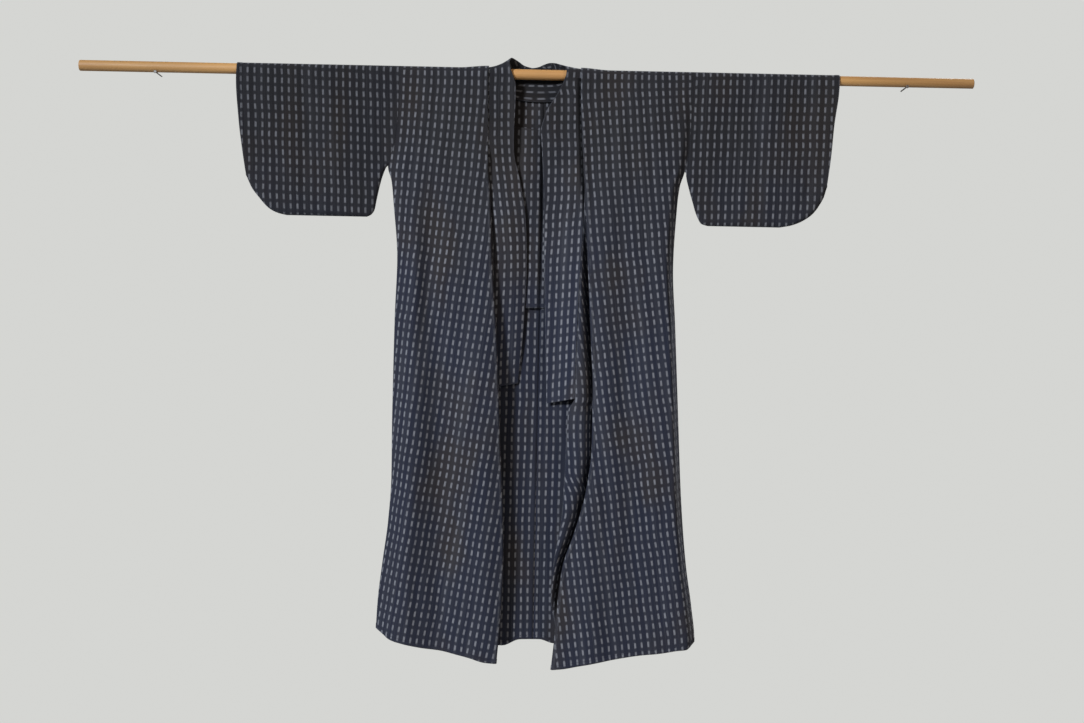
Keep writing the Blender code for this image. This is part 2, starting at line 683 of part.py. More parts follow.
def build_overlap(side):
    # Runs back behind the front, folds, and comes forward again to the collar
    outward = SIDE_SIGN[side]
    corner = COLLAR_END[side][0]
    heights = [body_row_z(z, FRONT_HEM[side][-1]) for z in BODY_ROWS if z < OVERLAP_TOP_Z]
    heights = [z for z in heights if not corner - 1.5 * OVERLAP_STEP < z < corner + OVERLAP_STEP / 2]
    heights += [OVERLAP_TOP_Z, corner - 0.001, corner - OVERLAP_STEP]
    rows = []
    for z in sorted(heights, reverse=True):
        edge = read(FRONT_EDGE, side, z)
        reach = read(OVERLAP_REACH, side, z)
        near_x = edge + outward * (reach - OVERLAP_TURN)
        radius = (behind_front_y(side, near_x, z) - front_layer_y(side, near_x, z)) / 2 - RETURN_RADIUS
        start = RETURN_RADIUS + RETURN_RUN + GAP
        turn = reach - radius
        end = (overlap_end_x(side, z) - edge) * outward
        row = []
        for share in (0, 0.33, 0.67, 1):
            x, level = overlap_place(side, lerp(start, turn, share), z)
            row.append((x, front_layer_y(side, x, level) + 2 * RETURN_RADIUS, level))
        turn_x, turn_y, turn_z = row[-1]
        for degrees in (45, 90, 135):
            angle = math.radians(degrees)
            row.append((turn_x + outward * radius * math.sin(angle),
                        turn_y + radius * (1 - math.cos(angle)), turn_z))
        for share in (0, 0.25, 0.5, 0.75, 1):
            x, level = overlap_place(side, lerp(turn, end, share), z)
            row.append((x, behind_front_y(side, x, level), level))
        rows.append(row)
    return grid_sheet("overlap_" + side, rows)


def collar_front_row(side, heights):
    # A section across the band from its sewn edge to its free edge
    row = []
    for share, z in zip((0, 0.5, 1), heights):
        sewn_x = read(COLLAR_FRONT, side + "_sewn", z)
        x = lerp(sewn_x, read(COLLAR_FRONT, side + "_free", z), share)
        y = behind_front_y(side, sewn_x if z < COLLAR_LOOSE_Z else x, z)
        y += share * read(BEHIND_DEPTH, side + "_free", z) * ease(-z / 0.1)
        y -= 4 * share * (1 - share) * COLLAR_SWELL[side] * ease(-(z + 0.15) / 0.15)
        row.append((x, y, z))
    return row


def collar_front_rows(side):
    sewn_end, free_end = COLLAR_END[side]
    heights = [body_row_z(z, FRONT_HEM[side][-1]) for z in BODY_ROWS] + [-0.050, -0.100, -0.150, -0.008]
    heights = [z for z in heights if z > sewn_end + 0.015]
    rows = [collar_front_row(side, (z, z, z)) for z in sorted(heights)]
    return [collar_front_row(side, (sewn_end, (sewn_end + free_end) / 2, free_end))] + rows


def collar_neck_rows():
    rows = []
    data = COLLAR_NECK
    for k, x in enumerate(data["sewn_x"]):
        turn = math.radians(data["turn"][k])
        radius = rod_radius(x) + 2 * GAP + COLLAR_WALL / 2
        sewn = (x, -radius * math.cos(turn), radius * math.sin(turn))
        if data["drop"][k]:
            side = "right" if x < BACK_SEAM_X else "left"
            sewn = (x, body_y("back", side, x, -data["drop"][k]) - 2 * LAP_OFFSET, -data["drop"][k])
        free = tuple(data["free_" + axis][k] for axis in "xyz")
        middle = [(sewn[a] + free[a]) / 2 for a in range(3)]
        middle[2] += data["rise"][k]
        rows.append((sewn, middle, free))
    return rows


def build_collar():
    rows = []
    right = collar_front_rows("right")
    left = list(reversed(collar_front_rows("left")))
    for sewn, middle, free in right + collar_neck_rows() + left:
        row = []
        for share in (0, 0.25, 0.5, 0.75, 1):
            # Parabola through the three points
            at_sewn = (1 - share) * (1 - 2 * share)
            at_middle = 4 * share * (1 - share)
            at_free = share * (2 * share - 1)
            row.append([at_sewn * sewn[k] + at_middle * middle[k] + at_free * free[k] for k in range(3)])
        rows.append(row)
    return grid_sheet("collar", rows, COLLAR_WALL)


def build_patch():
    rows = []
    for step in range(PATCH_ROWS + 1):
        share = step / PATCH_ROWS
        row = []
        for x, forward in zip(PATCH_PLEAT["x"], PATCH_PLEAT["forward"]):
            z = lerp(read(PATCH_TOP, "z", x, "x"), PATCH_LOW_Z, share)
            side = "right" if x < BACK_SEAM_X else "left"
            inside = body_y("back", side, x, z) - WALL - GAP
            pleat = forward * lerp(1, 0.7, abs(2 * share - 1))     # fuller halfway down
            row.append((x, inside - pleat, z))
        rows.append(row)
    return grid_sheet("shoulder_patch", rows)


def add_turned(name, profile, sides, finish, along):
    # A round solid along X or Y, from (distance along, radius) pairs
    mesh = bpy.data.meshes.new(name)
    shape = bmesh.new()
    rings = []
    for distance, radius in profile:
        ring = []
        for k in range(sides):
            angle = 2 * math.pi * k / sides
            a, b = radius * math.cos(angle), radius * math.sin(angle)
            ring.append(shape.verts.new((distance, a, b) if along == "x" else (a, distance, b)))
        rings.append(ring)
    for near, far in zip(rings, rings[1:]):
        for k in range(sides):
            shape.faces.new((near[k], near[k - 1], far[k - 1], far[k]))
    shape.faces.new(rings[0])
    shape.faces.new(rings[-1])
    bmesh.ops.recalc_face_normals(shape, faces=shape.faces)
    shape.to_mesh(mesh)
    shape.free()
    return add_object(name, mesh, finish)


def build_rod():
    profile = [(ROD_RIGHT_X, rod_radius(ROD_RIGHT_X) - ROD_EDGE),
               (ROD_RIGHT_X + ROD_EDGE, rod_radius(ROD_RIGHT_X)),
               (ROD_LEFT_X - ROD_EDGE, rod_radius(ROD_LEFT_X)),
               (ROD_LEFT_X, rod_radius(ROD_LEFT_X) - ROD_EDGE)]
    return add_turned("rod", profile, ROD_SIDES, WOOD, "x")


def build_nail(side):
    profile = [(NAIL_FRONT_Y, NAIL_HEAD_RADIUS * 0.8),
               (NAIL_FRONT_Y + NAIL_HEAD_THICKNESS / 2, NAIL_HEAD_RADIUS),
               (NAIL_FRONT_Y + NAIL_HEAD_THICKNESS, NAIL_HEAD_RADIUS),
               (NAIL_FRONT_Y + NAIL_HEAD_THICKNESS, NAIL_RADIUS),
               (NAIL_BACK_Y - 2.5 * NAIL_RADIUS, NAIL_RADIUS),
               (NAIL_BACK_Y, NAIL_RADIUS * 0.2)]
    nail = add_turned("nail_" + side, profile, NAIL_SIDES, STEEL, "y")
    x = NAIL_X[side]
    nail.location = (x, 0, -(rod_radius(x) + GAP + NAIL_RADIUS))
    return nail


def main():
    for obj in list(bpy.data.objects):
        bpy.data.objects.remove(obj, do_unlink=True)
    build_rod()
    for side in SIDE_SIGN:
        build_nail(side)
        build_body(side)
        build_sleeve(side)
        build_overlap(side)
    build_collar()
    build_patch()


main()
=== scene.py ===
# Looks of a kimono-cut haori spread on a wooden rod.
# Metres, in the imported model's frame: +X is the viewer's right, -Y faces the viewer, +Z is up.
# "Right" and "left" are the wearer's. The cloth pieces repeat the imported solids' shapes, finer.

import math

import bmesh
import bpy
import numpy as np
from mathutils import Matrix, Vector


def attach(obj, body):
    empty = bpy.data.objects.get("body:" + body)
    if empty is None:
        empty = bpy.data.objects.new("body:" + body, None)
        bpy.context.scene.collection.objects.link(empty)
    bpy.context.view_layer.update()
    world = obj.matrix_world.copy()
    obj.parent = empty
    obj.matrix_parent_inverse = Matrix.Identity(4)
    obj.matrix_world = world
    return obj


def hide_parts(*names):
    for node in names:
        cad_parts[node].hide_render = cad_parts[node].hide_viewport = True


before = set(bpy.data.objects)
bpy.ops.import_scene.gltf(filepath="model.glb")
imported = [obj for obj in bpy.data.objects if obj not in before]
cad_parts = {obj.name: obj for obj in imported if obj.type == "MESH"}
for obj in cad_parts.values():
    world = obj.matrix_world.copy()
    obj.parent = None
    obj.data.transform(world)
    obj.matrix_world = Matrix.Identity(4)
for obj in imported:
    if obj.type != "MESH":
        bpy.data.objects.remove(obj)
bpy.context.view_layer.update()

sideSign = {"right": -1, "left": 1}
layerSign = {"front": -1, "back": 1}


def table(columns, *rows):
    return dict(zip(columns.split(), zip(*rows)))


def millimetres(columns, plain=""):
    # Lengths are written in millimetres, the plain ones among the columns as they are
    return {name: np.array(values) / (1 if name in plain.split() else 1000)
            for name, values in columns.items()}


def strokes(*rows):
    # Straight folds and creases in millimetres, after the side or layer that they are on: x and z of the
    # upper end, x and z of the lower end, width and depth
    groups = {}
    for row in rows:
        if isinstance(row, str):
            groups[row] = group = []
        else:
            group.append([value / 1000 for value in row])
    return groups


def setAll(thing, **values):
    for name, value in values.items():
        setattr(thing, name, value)
    return thing


# What all cloth pieces share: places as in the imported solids, and how fine the surfaces are
sewing = {
    "wall": 0.0012,
    "collarWall": 0.0024,
    "gap": 0.00035,
    "shownWall": 0.0010,         # thickness shown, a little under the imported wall
    "hemWall": 0.0021,           # where a hem's folds lie on each other
    "hemWidth": 0.0090,
    "rodClearance": 0.0012,
    "rodBlend": 0.06,
    "neckLift": 0.0044,
    "neckLiftWidth": 0.065,
    "underarmZ": -0.205,
    "backSeamX": 0.017,
    "returnRadius": 0.0045,
    "returnRun": 0.004,
    "seamDip": 0.0005,           # groove along a seam
    "seamDipWidth": 0.0022,
    "turnSteps": 8,              # rows on the quarter turn from the rod's top
    "firstRow": -0.006,          # height of the first row below it
}
lapOffset = sewing["wall"] / 2 + sewing["gap"] + sewing["collarWall"] / 2
hemRises = np.array([0.0125, 0.0103, 0.0088, 0.0040, 0.0])      # the last rows, by height above the hem

rodShape = {"radius": 0.0110, "taper": 0.0006}


# Reading the tables

def smoothValue(xs, ys, at):
    # Cubic through the rows that never overshoots them
    xs, ys = np.array(xs, float), np.array(ys, float)
    at = np.clip(at, xs[0], xs[-1])
    steps = np.diff(ys) / np.diff(xs)
    before, after = steps[:-1], steps[1:]
    slopes = np.concatenate([steps[:1], np.zeros(len(xs) - 2), steps[-1:]])
    same = before * after > 0
    slopes[1:-1][same] = 2 * before[same] * after[same] / (before + after)[same]
    k = np.clip(np.searchsorted(xs, at, side="right") - 1, 0, len(xs) - 2)
    span = xs[k + 1] - xs[k]
    s = (at - xs[k]) / span
    bend = s * (1 - s) * (slopes[k] * (1 - s) - slopes[k + 1] * s)
    return lerp(ys[k], ys[k + 1], ease(s)) + span * bend


def read(data, column, at, key="z"):
    return smoothValue(data[key], data[column], at)


def ease(value):
    value = np.clip(value, 0.0, 1.0)
    return value * value * (3 - 2 * value)


def lerp(a, b, share):
    return a + (b - a) * share


def stacked(*columns):
    return np.stack(np.broadcast_arrays(*columns), -1)


def rounding(distance, width):
    # Quarter circle from 0 at an edge to 1 at this width from it
    return np.sqrt(1 - (1 - np.clip(distance / width, 0.0, 1.0)) ** 2)


def bell(distance, width):
    return np.exp(-(distance / width) ** 2)


def ripple(x, z, seed):
    # Slow unevenness of hanging cloth, longer down than across
    waves = ((61, 9, 0.3), (97, -14, 1.9), (38, 21, 4.1), (151, 26, 2.7), (23, -37, 5.2), (118, 47, 0.9))
    total = 0
    for k, (across, down, phase) in enumerate(waves):
        total = total + np.sin(across * x + down * z + phase * (1 + seed) + k * seed) / (1 + 0.35 * k)
    return total / 2.6


def strokesOn(layer, side, data):
    # The back's two halves share their folds and creases, so that the seam between them stays closed
    return data["back" if layer == "back" else side]


def fade(along):
    # From 0 at a line's start to 1 in its middle and 0 at its end
    return np.sin(np.pi * np.clip(along, 0, 1)) ** 0.7


def creaseDepth(creases, layer, side, x, z):
    # Soft troughs (+) and ridges (-) along straight lines
    depth = 0
    for topX, topZ, lowX, lowZ, width, size in strokesOn(layer, side, creases):
        runX, runZ = lowX - topX, lowZ - topZ
        length = math.hypot(runX, runZ)
        along = ((x - topX) * runX + (z - topZ) * runZ) / length ** 2
        across = ((x - topX) * runZ - (z - topZ) * runX) / length
        depth = depth + size * fade(along) * bell(across, width)
    return depth


def foldDepth(folds, layer, side, x, z):
    # The largest folds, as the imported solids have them
    depth = 0
    for topX, topZ, lowX, lowZ, width, size in strokesOn(layer, side, folds):
        along = np.clip((topZ - z) / (topZ - lowZ), 0, 1)
        depth = depth + size * fade(along) * bell(x - lerp(topX, lowX, along), width)
    return depth


# Body: outline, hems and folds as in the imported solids

bodySide = millimetres({
    "z":     (-1240, -1209, -1137, -1051, -965, -870, -740, -534, -410, -276, -233, -205, -150,  -85,   20),
    "right": ( -323,  -322,  -319,  -310, -300, -295, -296, -295, -292, -303, -308, -316, -302, -296, -295),
    "left":  (  357,   363,   355,   342,  333,  326,  319,  308,  301,  307,  312,  321,  331,  333,  333),
})
frontEdge = millimetres({
    "z":     (-1275, -1200, -1127, -1054, -983,  -889, -795, -681, -592, -409, -275, -196,  -57,   20),
    "right": (  -62, -56.5, -52.5, -50.5,  -52, -56.5,  -62,  -68,  -73,  -87,  -94, -100, -103, -104),
    "left":  (   56,    63,    68,    77,  100,   124,  134,  134,  129,  118,  111,  104,   96,   94),
})
frontHem = millimetres({
    "share": (    0,  0.06,  0.12,  0.22,   0.4,   0.6,   0.8,  0.92,     1),
    "right": (-1196, -1206, -1217, -1224, -1234, -1242, -1253, -1261, -1263),
    "left":  (-1212, -1226, -1228, -1234, -1241, -1252, -1264, -1272, -1275),
}, plain="share")
backHem = millimetres({
    "x": ( -322,  -250,  -150,   -50,   -12,    30,    60,   200,   300,   363),
    "z": (-1196, -1214, -1222, -1230, -1216, -1216, -1224, -1226, -1220, -1212),
})
hangDepth = millimetres({
    "z":     (-1280, -800, -400, -205, -100,    0),
    "seam":  (   12,   11,    9,  5.5,    9, 12.5),
    "front": ( 24.5, 23.5,   21,   18,   16, 12.5),
    "back":  (   11,   12,   13, 13.5, 13.5, 12.5),
    "round": (   22,   20,   18,   12,   12,   12),
})
bodyFolds = strokes(
    "right",
    (-214, -200, -228,  -640, 20,  11),
    (-199, -440, -176, -1440, 28,  10),
    (-242, -400, -254, -1440, 30, -13),
    (-104, -300,  -88, -1440, 46, -15),
    "left",
    ( 180, -230,  245, -1300, 28,   3),
    ( 148, -200,  190, -1150, 26,  -6),
    ( 285, -220,  318, -1440, 55,  -9),
    ( 142, -800,  130, -1440, 36,  -9),
    "back",
    ( -30,  -20,  -30,  -340, 26,  -6),
    ( -45, -660,  -40, -1420, 50,  -9),
    (-205, -330, -215, -1360, 45,  -6),
    (-120, -560, -115, -1360, 30,   7),
    ( 105, -420,  120, -1360, 40,  -6),
    ( 225, -640,  250, -1360, 40,   9),
)

# Storage creases, pulls and small folds
bodyCreases = strokes(
    "right",
    (-268,   -40,  -82,   -62,   5,  2.6),
    (-268,   -83, -105,   -96, 4.5,  2.4),
    (-300,  -131, -100,  -164,   6,  2.8),
    (-282,   -60, -258,  -330,   9,  2.2),
    (-256,  -220, -252,  -560,  12, -2.4),
    (-140,  -200, -132,  -560,  14,  1.8),
    (-168,  -640, -150, -1120,  15,  2.6),
    (-232,  -820, -240, -1300,  12,  2.4),
    (-110,  -840, -122, -1300,  13,    2),
    (-290,  -500, -262,  -520,   6,  1.8),
    "left",
    ( 318,  -175,  262,  -250,   9,  2.6),
    ( 250,   -60,  244,  -420,  10,  1.6),
    ( 180,   -90,  170,  -400,  12, -1.4),
    ( 210,  -880,  305,  -868, 4.5,   -2),
    ( 160,  -700,  178, -1220,  13,  2.2),
    ( 240,  -520,  275, -1000,  12,   -2),
    ( 282,  -900,  290, -1290,  12,  2.6),
    ( 110, -1020,  118, -1290,  12,  1.8),
    ( 298,  -360,  316,  -940,   9,   -4),
    ( 112,   -90,  125,  -330,   7,  3.6),
    ( 134,  -440,  144,  -880,   8,  4.5),
    ( 146,  -800,   74, -1140,   8,  4.5),
    "back",
    (-250,   -60,  -60,   -72,   5,    2),
    (-270,  -120,  -80,  -140, 5.5,  2.2),
    (-300,  -190, -240,  -300,   9,  2.2),
    (-150,  -250, -160,  -900,  15,  2.2),
    (-260,  -600, -270, -1280,  14,  2.6),
    ( -40,  -700,  -30, -1240,  12, -1.8),
    (  80,   -70,  260,   -85,   5,    2),
    ( 318,  -180,  270,  -290,   9,  2.2),
    ( 180,  -300,  172,  -980,  15,  2.2),
    ( 290,  -560,  300, -1260,  14,  2.4),
    (  60,  -640,   66, -1220,  12, -1.8),
)

# How far the woven columns lean outwards, in degrees
lean = millimetres({
    "z":     (-1300, -900, -550, -350, -200, -80, 0),
    "right": (    9,    9,    8,  6.8,  5.4, 3.4, 0),
    "left":  (  7.5,    9,    9,    6,  4.6, 5.4, 0),
}, plain="right left")

# Depth of what lies behind the fronts, below the chest
behindDepth = millimetres({
    "z":           (-1280, -1100, -900, -700, -500, -360, -220, -100),
    "right_under": (    0,     0,    0,   -3,   -9,  -10,  -11,  -12),
    "left_under":  (    0,     1,    1,    3,    3,   -1,   -6,  -10),
    "right_past":  (    0,     0,    0,    0,    0,    0,    0,    0),
    "left_past":   (  -10,   -20,  -24,  -25,  -24,  -18,   -6,    0),
    "right_free":  (    0,     0,    0,   13,   13,   10,    2,    2),
    "left_free":   (    0,     0,    0,   19,   18,   13,    2,    2),
})

bodyValues = {
    "rowZ": -1.240,            # the last row's height before it is stretched to the hem
    "sideBlend": {"right": 0.045, "left": 0.018},
    "foldFade": 0.015,
    "rowsAbove": 24,           # rows above the underarm, and below it
    "rowsBelow": 124,
    "columns": 46,
    "sideColumns": 14,         # closer columns round the side
    "sideShare": 0.11,
    "backColumns": 18,         # between the neck's corner and the centre-back seam
    "returnSteps": 8,
    "returnTopZ": -0.170,      # where the inner edge begins to fold back, and over what height
    "returnBlend": 0.035,
    "neckZ": -0.046,
    "neckCornerZ": -0.030,
    "neckFadeZ": -0.170,       # rows below it no longer follow the neck's curve
    "rippleDepth": 0.0013,
    "puckerDepth": 0.0006,     # puckers along the side and armhole seams
    "puckerLength": 0.027,
    "puckerWidth": 0.030,
    "behindZ": -0.22,          # where what lies behind a front leaves its inside, and over what height
    "behindBlend": 0.14,
    "swellWidth": 0.020,       # past the front's edge it comes forward over this width, then loses a share
    "swellEnd": 0.050,
    "swellLoss": 0.7,
}


def rodRadius(x):
    return rodShape["radius"] - rodShape["taper"] * x


def hangRadius(x):
    # Radius of the cloth's middle over the rod, larger where the collar's sewn edge lies under it
    lift = 0
    for side in sideSign:
        edge = read(frontEdge, side, 0.0)
        lift = np.maximum(lift, 1 - ease(abs(x - edge) / sewing["neckLiftWidth"]))
    return rodRadius(x) + sewing["rodClearance"] + sewing["neckLift"] * lift


def bodyY(layer, side, x, z):
    # Middle of the body cloth at a place on its front or back
    v = bodyValues
    sign = layerSign[layer]
    inward = abs(x - read(bodySide, side, z))
    atRod = ease(1 + z / sewing["rodBlend"])
    half = lerp(read(hangDepth, "seam", z), read(hangDepth, layer, z), ease(inward / v["sideBlend"][side]))
    half = lerp(half, hangRadius(x), atRod)
    half = half + sign * foldDepth(bodyFolds, layer, side, x, z) * ease(inward / v["foldFade"])
    half = half - bodyDetail(layer, side, x, z, inward) * (1 - atRod)
    closing = np.where(z <= sewing["underarmZ"], rounding(inward, read(hangDepth, "round", z)), 1.0)
    return sign * half * closing


def bodyDetail(layer, side, x, z, inward):
    # Depth into the garment from creases, unevenness, seam puckers and the groove of the centre-back seam
    v = bodyValues
    seed = 1.3 if layer == "back" else {"right": 0.0, "left": 0.7}[side]
    depth = -layerSign[layer] * creaseDepth(bodyCreases, layer, side, x, z) * ease(inward / 0.012)
    depth = depth + v["rippleDepth"] * ripple(x, z, seed) * ease(inward / 0.05)
    pucker = np.sin(2 * np.pi * z / v["puckerLength"] + 2.1 * np.sin(9 * z + seed))
    depth = depth + v["puckerDepth"] * pucker * bell(inward, v["puckerWidth"]) * ease(inward / 0.006)
    if layer == "back":
        fromSeam = x - sewing["backSeamX"]
        depth = depth + sewing["seamDip"] * bell(fromSeam, sewing["seamDipWidth"])
        depth = depth + 0.0003 * np.sin(2 * np.pi * z / 0.023 + seed) * bell(fromSeam, 0.02)
    return depth


def frontLayerY(side, x, z):
    # The front's own surface, held level past its inner edge
    edge = read(frontEdge, side, z) + sideSign[side] * sewing["returnRadius"]
    return bodyY("front", side, np.where((x - edge) * sideSign[side] < 0, edge, x), z)


def behindFrontY(side, x, z):
    # What lies behind the front: against its inside at the top, lower down near the back under the
    # front's edge, and nearer the viewer past that edge
    v = bodyValues
    past = (read(frontEdge, side, z) - x) * sideSign[side]
    loss = v["swellLoss"] * ease((past - v["swellWidth"]) / v["swellEnd"])
    swell = ease(past / v["swellWidth"]) * (1 - loss)
    low = read(behindDepth, side + "_under", z) + read(behindDepth, side + "_past", z) * swell
    high = frontLayerY(side, x, z) + read(collarLayer, "offset", z)
    return lerp(high, low, ease((v["behindZ"] - z) / v["behindBlend"]))


def bodyRowZ(rowZ, hemZ):
    # Rows below the underarm stretch so that the last one lies on the hem
    top = sewing["underarmZ"]
    return np.where(rowZ >= top, rowZ, top + (rowZ - top) * (hemZ - top) / (bodyValues["rowZ"] - top))


def returnShare(rowZ):
    # The inner edge begins to fold back just above the underarm's height
    return ease((bodyValues["returnTopZ"] - rowZ) / bodyValues["returnBlend"])


def halfTurn(start, outward, radius, turns):
    # Points on a half circle that goes back from a start, at these shares of its turn
    x, y, z = start
    angles = math.pi * turns
    return stacked(x + outward * radius * np.sin(angles), y + radius * (1 - np.cos(angles)), z)


def frontRow(side, shares, rowZ):
    # From the side to the inner edge, which is folded back on itself
    outward, share = sideSign[side], returnShare(rowZ)
    radius = sewing["returnRadius"] * share
    z = bodyRowZ(rowZ, read(frontHem, side, shares, "share"))
    x = lerp(read(bodySide, side, z), read(frontEdge, side, z) + outward * radius, shares)
    row = stacked(x, bodyY("front", side, x, z), z)
    if share <= 0.1:
        return row
    edgeX, _, edgeZ = row[-1]
    runX = edgeX + outward * sewing["returnRun"] * share * np.array([0.33, 0.67, 1])
    turns = np.arange(1, bodyValues["returnSteps"] + 1) / bodyValues["returnSteps"]
    return np.concatenate([row, halfTurn(row[-1], -outward, radius, turns),
                           stacked(runX, frontLayerY(side, runX, edgeZ) + 2 * radius, edgeZ)])


def backRow(side, shares, rowZ):
    # From the side to the neck's corner, and below it on to the centre-back seam
    v = bodyValues
    corner = read(frontEdge, side, 0.0)
    hemZ = frontHem[side][0]
    hemX = lerp(read(bodySide, side, hemZ), corner, shares)
    z = bodyRowZ(rowZ, np.where(shares > 0, read(backHem, "z", hemX, "x"), hemZ))
    x = lerp(read(bodySide, side, z), corner, shares)
    row = stacked(x, bodyY("back", side, x, z), z)
    if rowZ > v["neckCornerZ"] + 1e-6:
        return row
    across = np.linspace(0, 1, v["backColumns"] + 1)[1:]
    x = lerp(corner, sewing["backSeamX"] + sideSign[side] * 0.00003, across)
    neckZ = lerp(v["neckCornerZ"], v["neckZ"], np.sin(across * math.pi / 2))
    z = bodyRowZ(rowZ, read(backHem, "z", x, "x"))
    z = z + (neckZ - v["neckCornerZ"]) * np.interp(-rowZ, (-v["neckCornerZ"], -v["neckFadeZ"]), (1, 0))
    return np.concatenate([row, stacked(x, bodyY("back", side, x, z), z)])


def overRod(layer, x, turned):
    # Points at a share of the quarter turn from the rod's top to its front or back
    angle = math.radians(90 - 90 * turned)
    radius = hangRadius(x)
    return stacked(x, layerSign[layer] * radius * math.cos(angle), radius * math.sin(angle))


def rowsDown(*heights):
    # Share of the turn over the rod and height, for each row of a cloth
    steps = sewing["turnSteps"]
    return [(step / steps, 0.0) for step in range(steps + 1)] + [(1, z) for z in np.concatenate(heights)]


# Turning points into thin cloth with a map of where each place lies on the woven cloth

def addToScene(name, data):
    thing = bpy.data.objects.new(name, data)
    bpy.context.scene.collection.objects.link(thing)
    return thing


class Sheet:
    # Rows of vertices. A place holds where the vertex lies on the woven cloth (across, down), then how far
    # it is from a hem and from an edge that wears.
    def __init__(self):
        self.shape = bmesh.new()
        self.map = self.shape.loops.layers.uv.new("Cloth")
        self.edges = self.shape.loops.layers.uv.new("Edges")
        self.share = self.shape.verts.layers.deform.verify()
        self.vertices = {}
        self.places = {}

    def putRow(self, layer, j, points, places, joined=(), shares=None):
        # Joined columns share their vertices with the other layer. A share of 1 is a hem's doubled cloth.
        if shares is None:
            shares = 1 - ease((places[:, 2] - sewing["hemWidth"]) / 0.0012)
        for i, point in enumerate(points):
            key = ("both" if i in joined else layer, i, j)
            if key not in self.vertices:
                self.vertices[key] = self.shape.verts.new(point)
                self.vertices[key][self.share][0] = float(shares[i])
            self.places[layer, i, j] = (self.vertices[key], places[i])

    def finish(self, name, material, wall=sewing["hemWall"], single=sewing["shownWall"]):
        # Faces between all neighbours. The wall is full where the share is 1 and single where it is 0.
        for layer, i, j in self.places:
            keys = [(layer, i, j), (layer, i + 1, j), (layer, i + 1, j + 1), (layer, i, j + 1)]
            if all(key in self.places for key in keys):
                corners = [self.places[key] for key in keys]
                face = self.shape.faces.new([vertex for vertex, _ in corners])
                for loop, (_, place) in zip(face.loops, corners):
                    loop[self.map].uv = place[:2]
                    loop[self.edges].uv = place[2:]
        mesh = bpy.data.meshes.new(name)
        bmesh.ops.recalc_face_normals(self.shape, faces=self.shape.faces)
        self.shape.to_mesh(mesh)
        self.shape.free()
        piece = addToScene(name, mesh)
        mesh.materials.append(material)
        mesh.shade_smooth()
        doubled = piece.vertex_groups.new(name="doubled").name
        setAll(piece.modifiers.new("cloth wall", "SOLIDIFY"), thickness=wall, offset=0, use_even_offset=True,
               vertex_group=doubled, thickness_vertex_group=single / wall)
        return piece


def closeColumns(values, count, share):
    # Columns that lie closer towards an edge, up to a share of the width
    return (np.arange(values[count]) / values[count]) ** 2 * values[share]


def gridSheet(name, points, places, material, shares=None, **walls):
    sheet = Sheet()
    for j, row in enumerate(points):
        sheet.putRow("only", j, row, places[j], shares=None if shares is None else shares[j])
    return sheet.finish(name, material, **walls)


def runLengths(points, axis):
    # Distance along rows or columns of points, from their first one
    steps = np.linalg.norm(np.diff(points, axis=axis), axis=-1)
    start = np.zeros_like(np.take(steps, [0], axis))
    return np.concatenate([start, np.cumsum(steps, axis)], axis)


def leanShift(side, z):
    # How far a leaning column has moved outwards at this height
    heights = np.linspace(0, -1.3, 261)
    slopes = np.tan(np.radians(read(lean, side, heights)))
    shift = np.append(0, np.cumsum((slopes[1:] + slopes[:-1]) / 2 * 0.005))
    return np.interp(-z, -heights, shift)


def buildBody(side, material):
    v = bodyValues
    top = sewing["underarmZ"]
    edge = read(frontEdge, side, 0.0)
    near = closeColumns(v, "sideColumns", "sideShare")
    shares = np.append(near, np.linspace(v["sideShare"], 1, v["columns"]))
    last = len(shares) - 1
    rows = rowsDown(np.linspace(sewing["firstRow"], v["neckCornerZ"], 4),
                    np.linspace(v["neckCornerZ"], top, v["rowsAbove"])[1:],
                    np.linspace(top, v["rowZ"] + hemRises[0], v["rowsBelow"] + 1)[1:],
                    v["rowZ"] + hemRises[1:])
    sheet = Sheet()
    for j, (turned, rowZ) in enumerate(rows):
        for layer in layerSign:
            if rowZ == 0:
                points = overRod(layer, lerp(read(bodySide, side, 0.0), edge, shares), turned)
            else:
                points = {"front": frontRow, "back": backRow}[layer](side, shares, rowZ)
            z = np.minimum(points[:, 2], 0)
            run = runLengths(points, 0)
            outward = abs(points[last, 0]) + run[last] - run
            down = hangRadius(edge) * math.pi / 2 * turned - z
            if layer == "front":
                hemZ = read(frontHem, side, np.append(shares, np.ones(len(points) - last - 1)), "share")
                across = leanShift(side, z) - outward
                down = down + (outward - 0.2) * np.tan(np.radians(read(lean, side, z)))
            else:
                hemZ = read(backHem, "z", points[:, 0], "x")
                across, down = -outward, -down
            toHem = np.maximum(points[:, 2] - hemZ, 0)
            toEdge = np.minimum(toHem, abs(outward - outward[last]) if layer == "front" else 1)
            if rowZ <= top:
                toEdge = np.minimum(toEdge, abs(outward - outward[0]))
            ends = (0,) if rowZ <= top else ()
            sheet.putRow(layer, j, points, stacked(across, down, toHem, toEdge),
                         range(last + 1) if j == 0 else ends)
    return sheet.finish("bodyCloth." + side, material)


# Sleeves

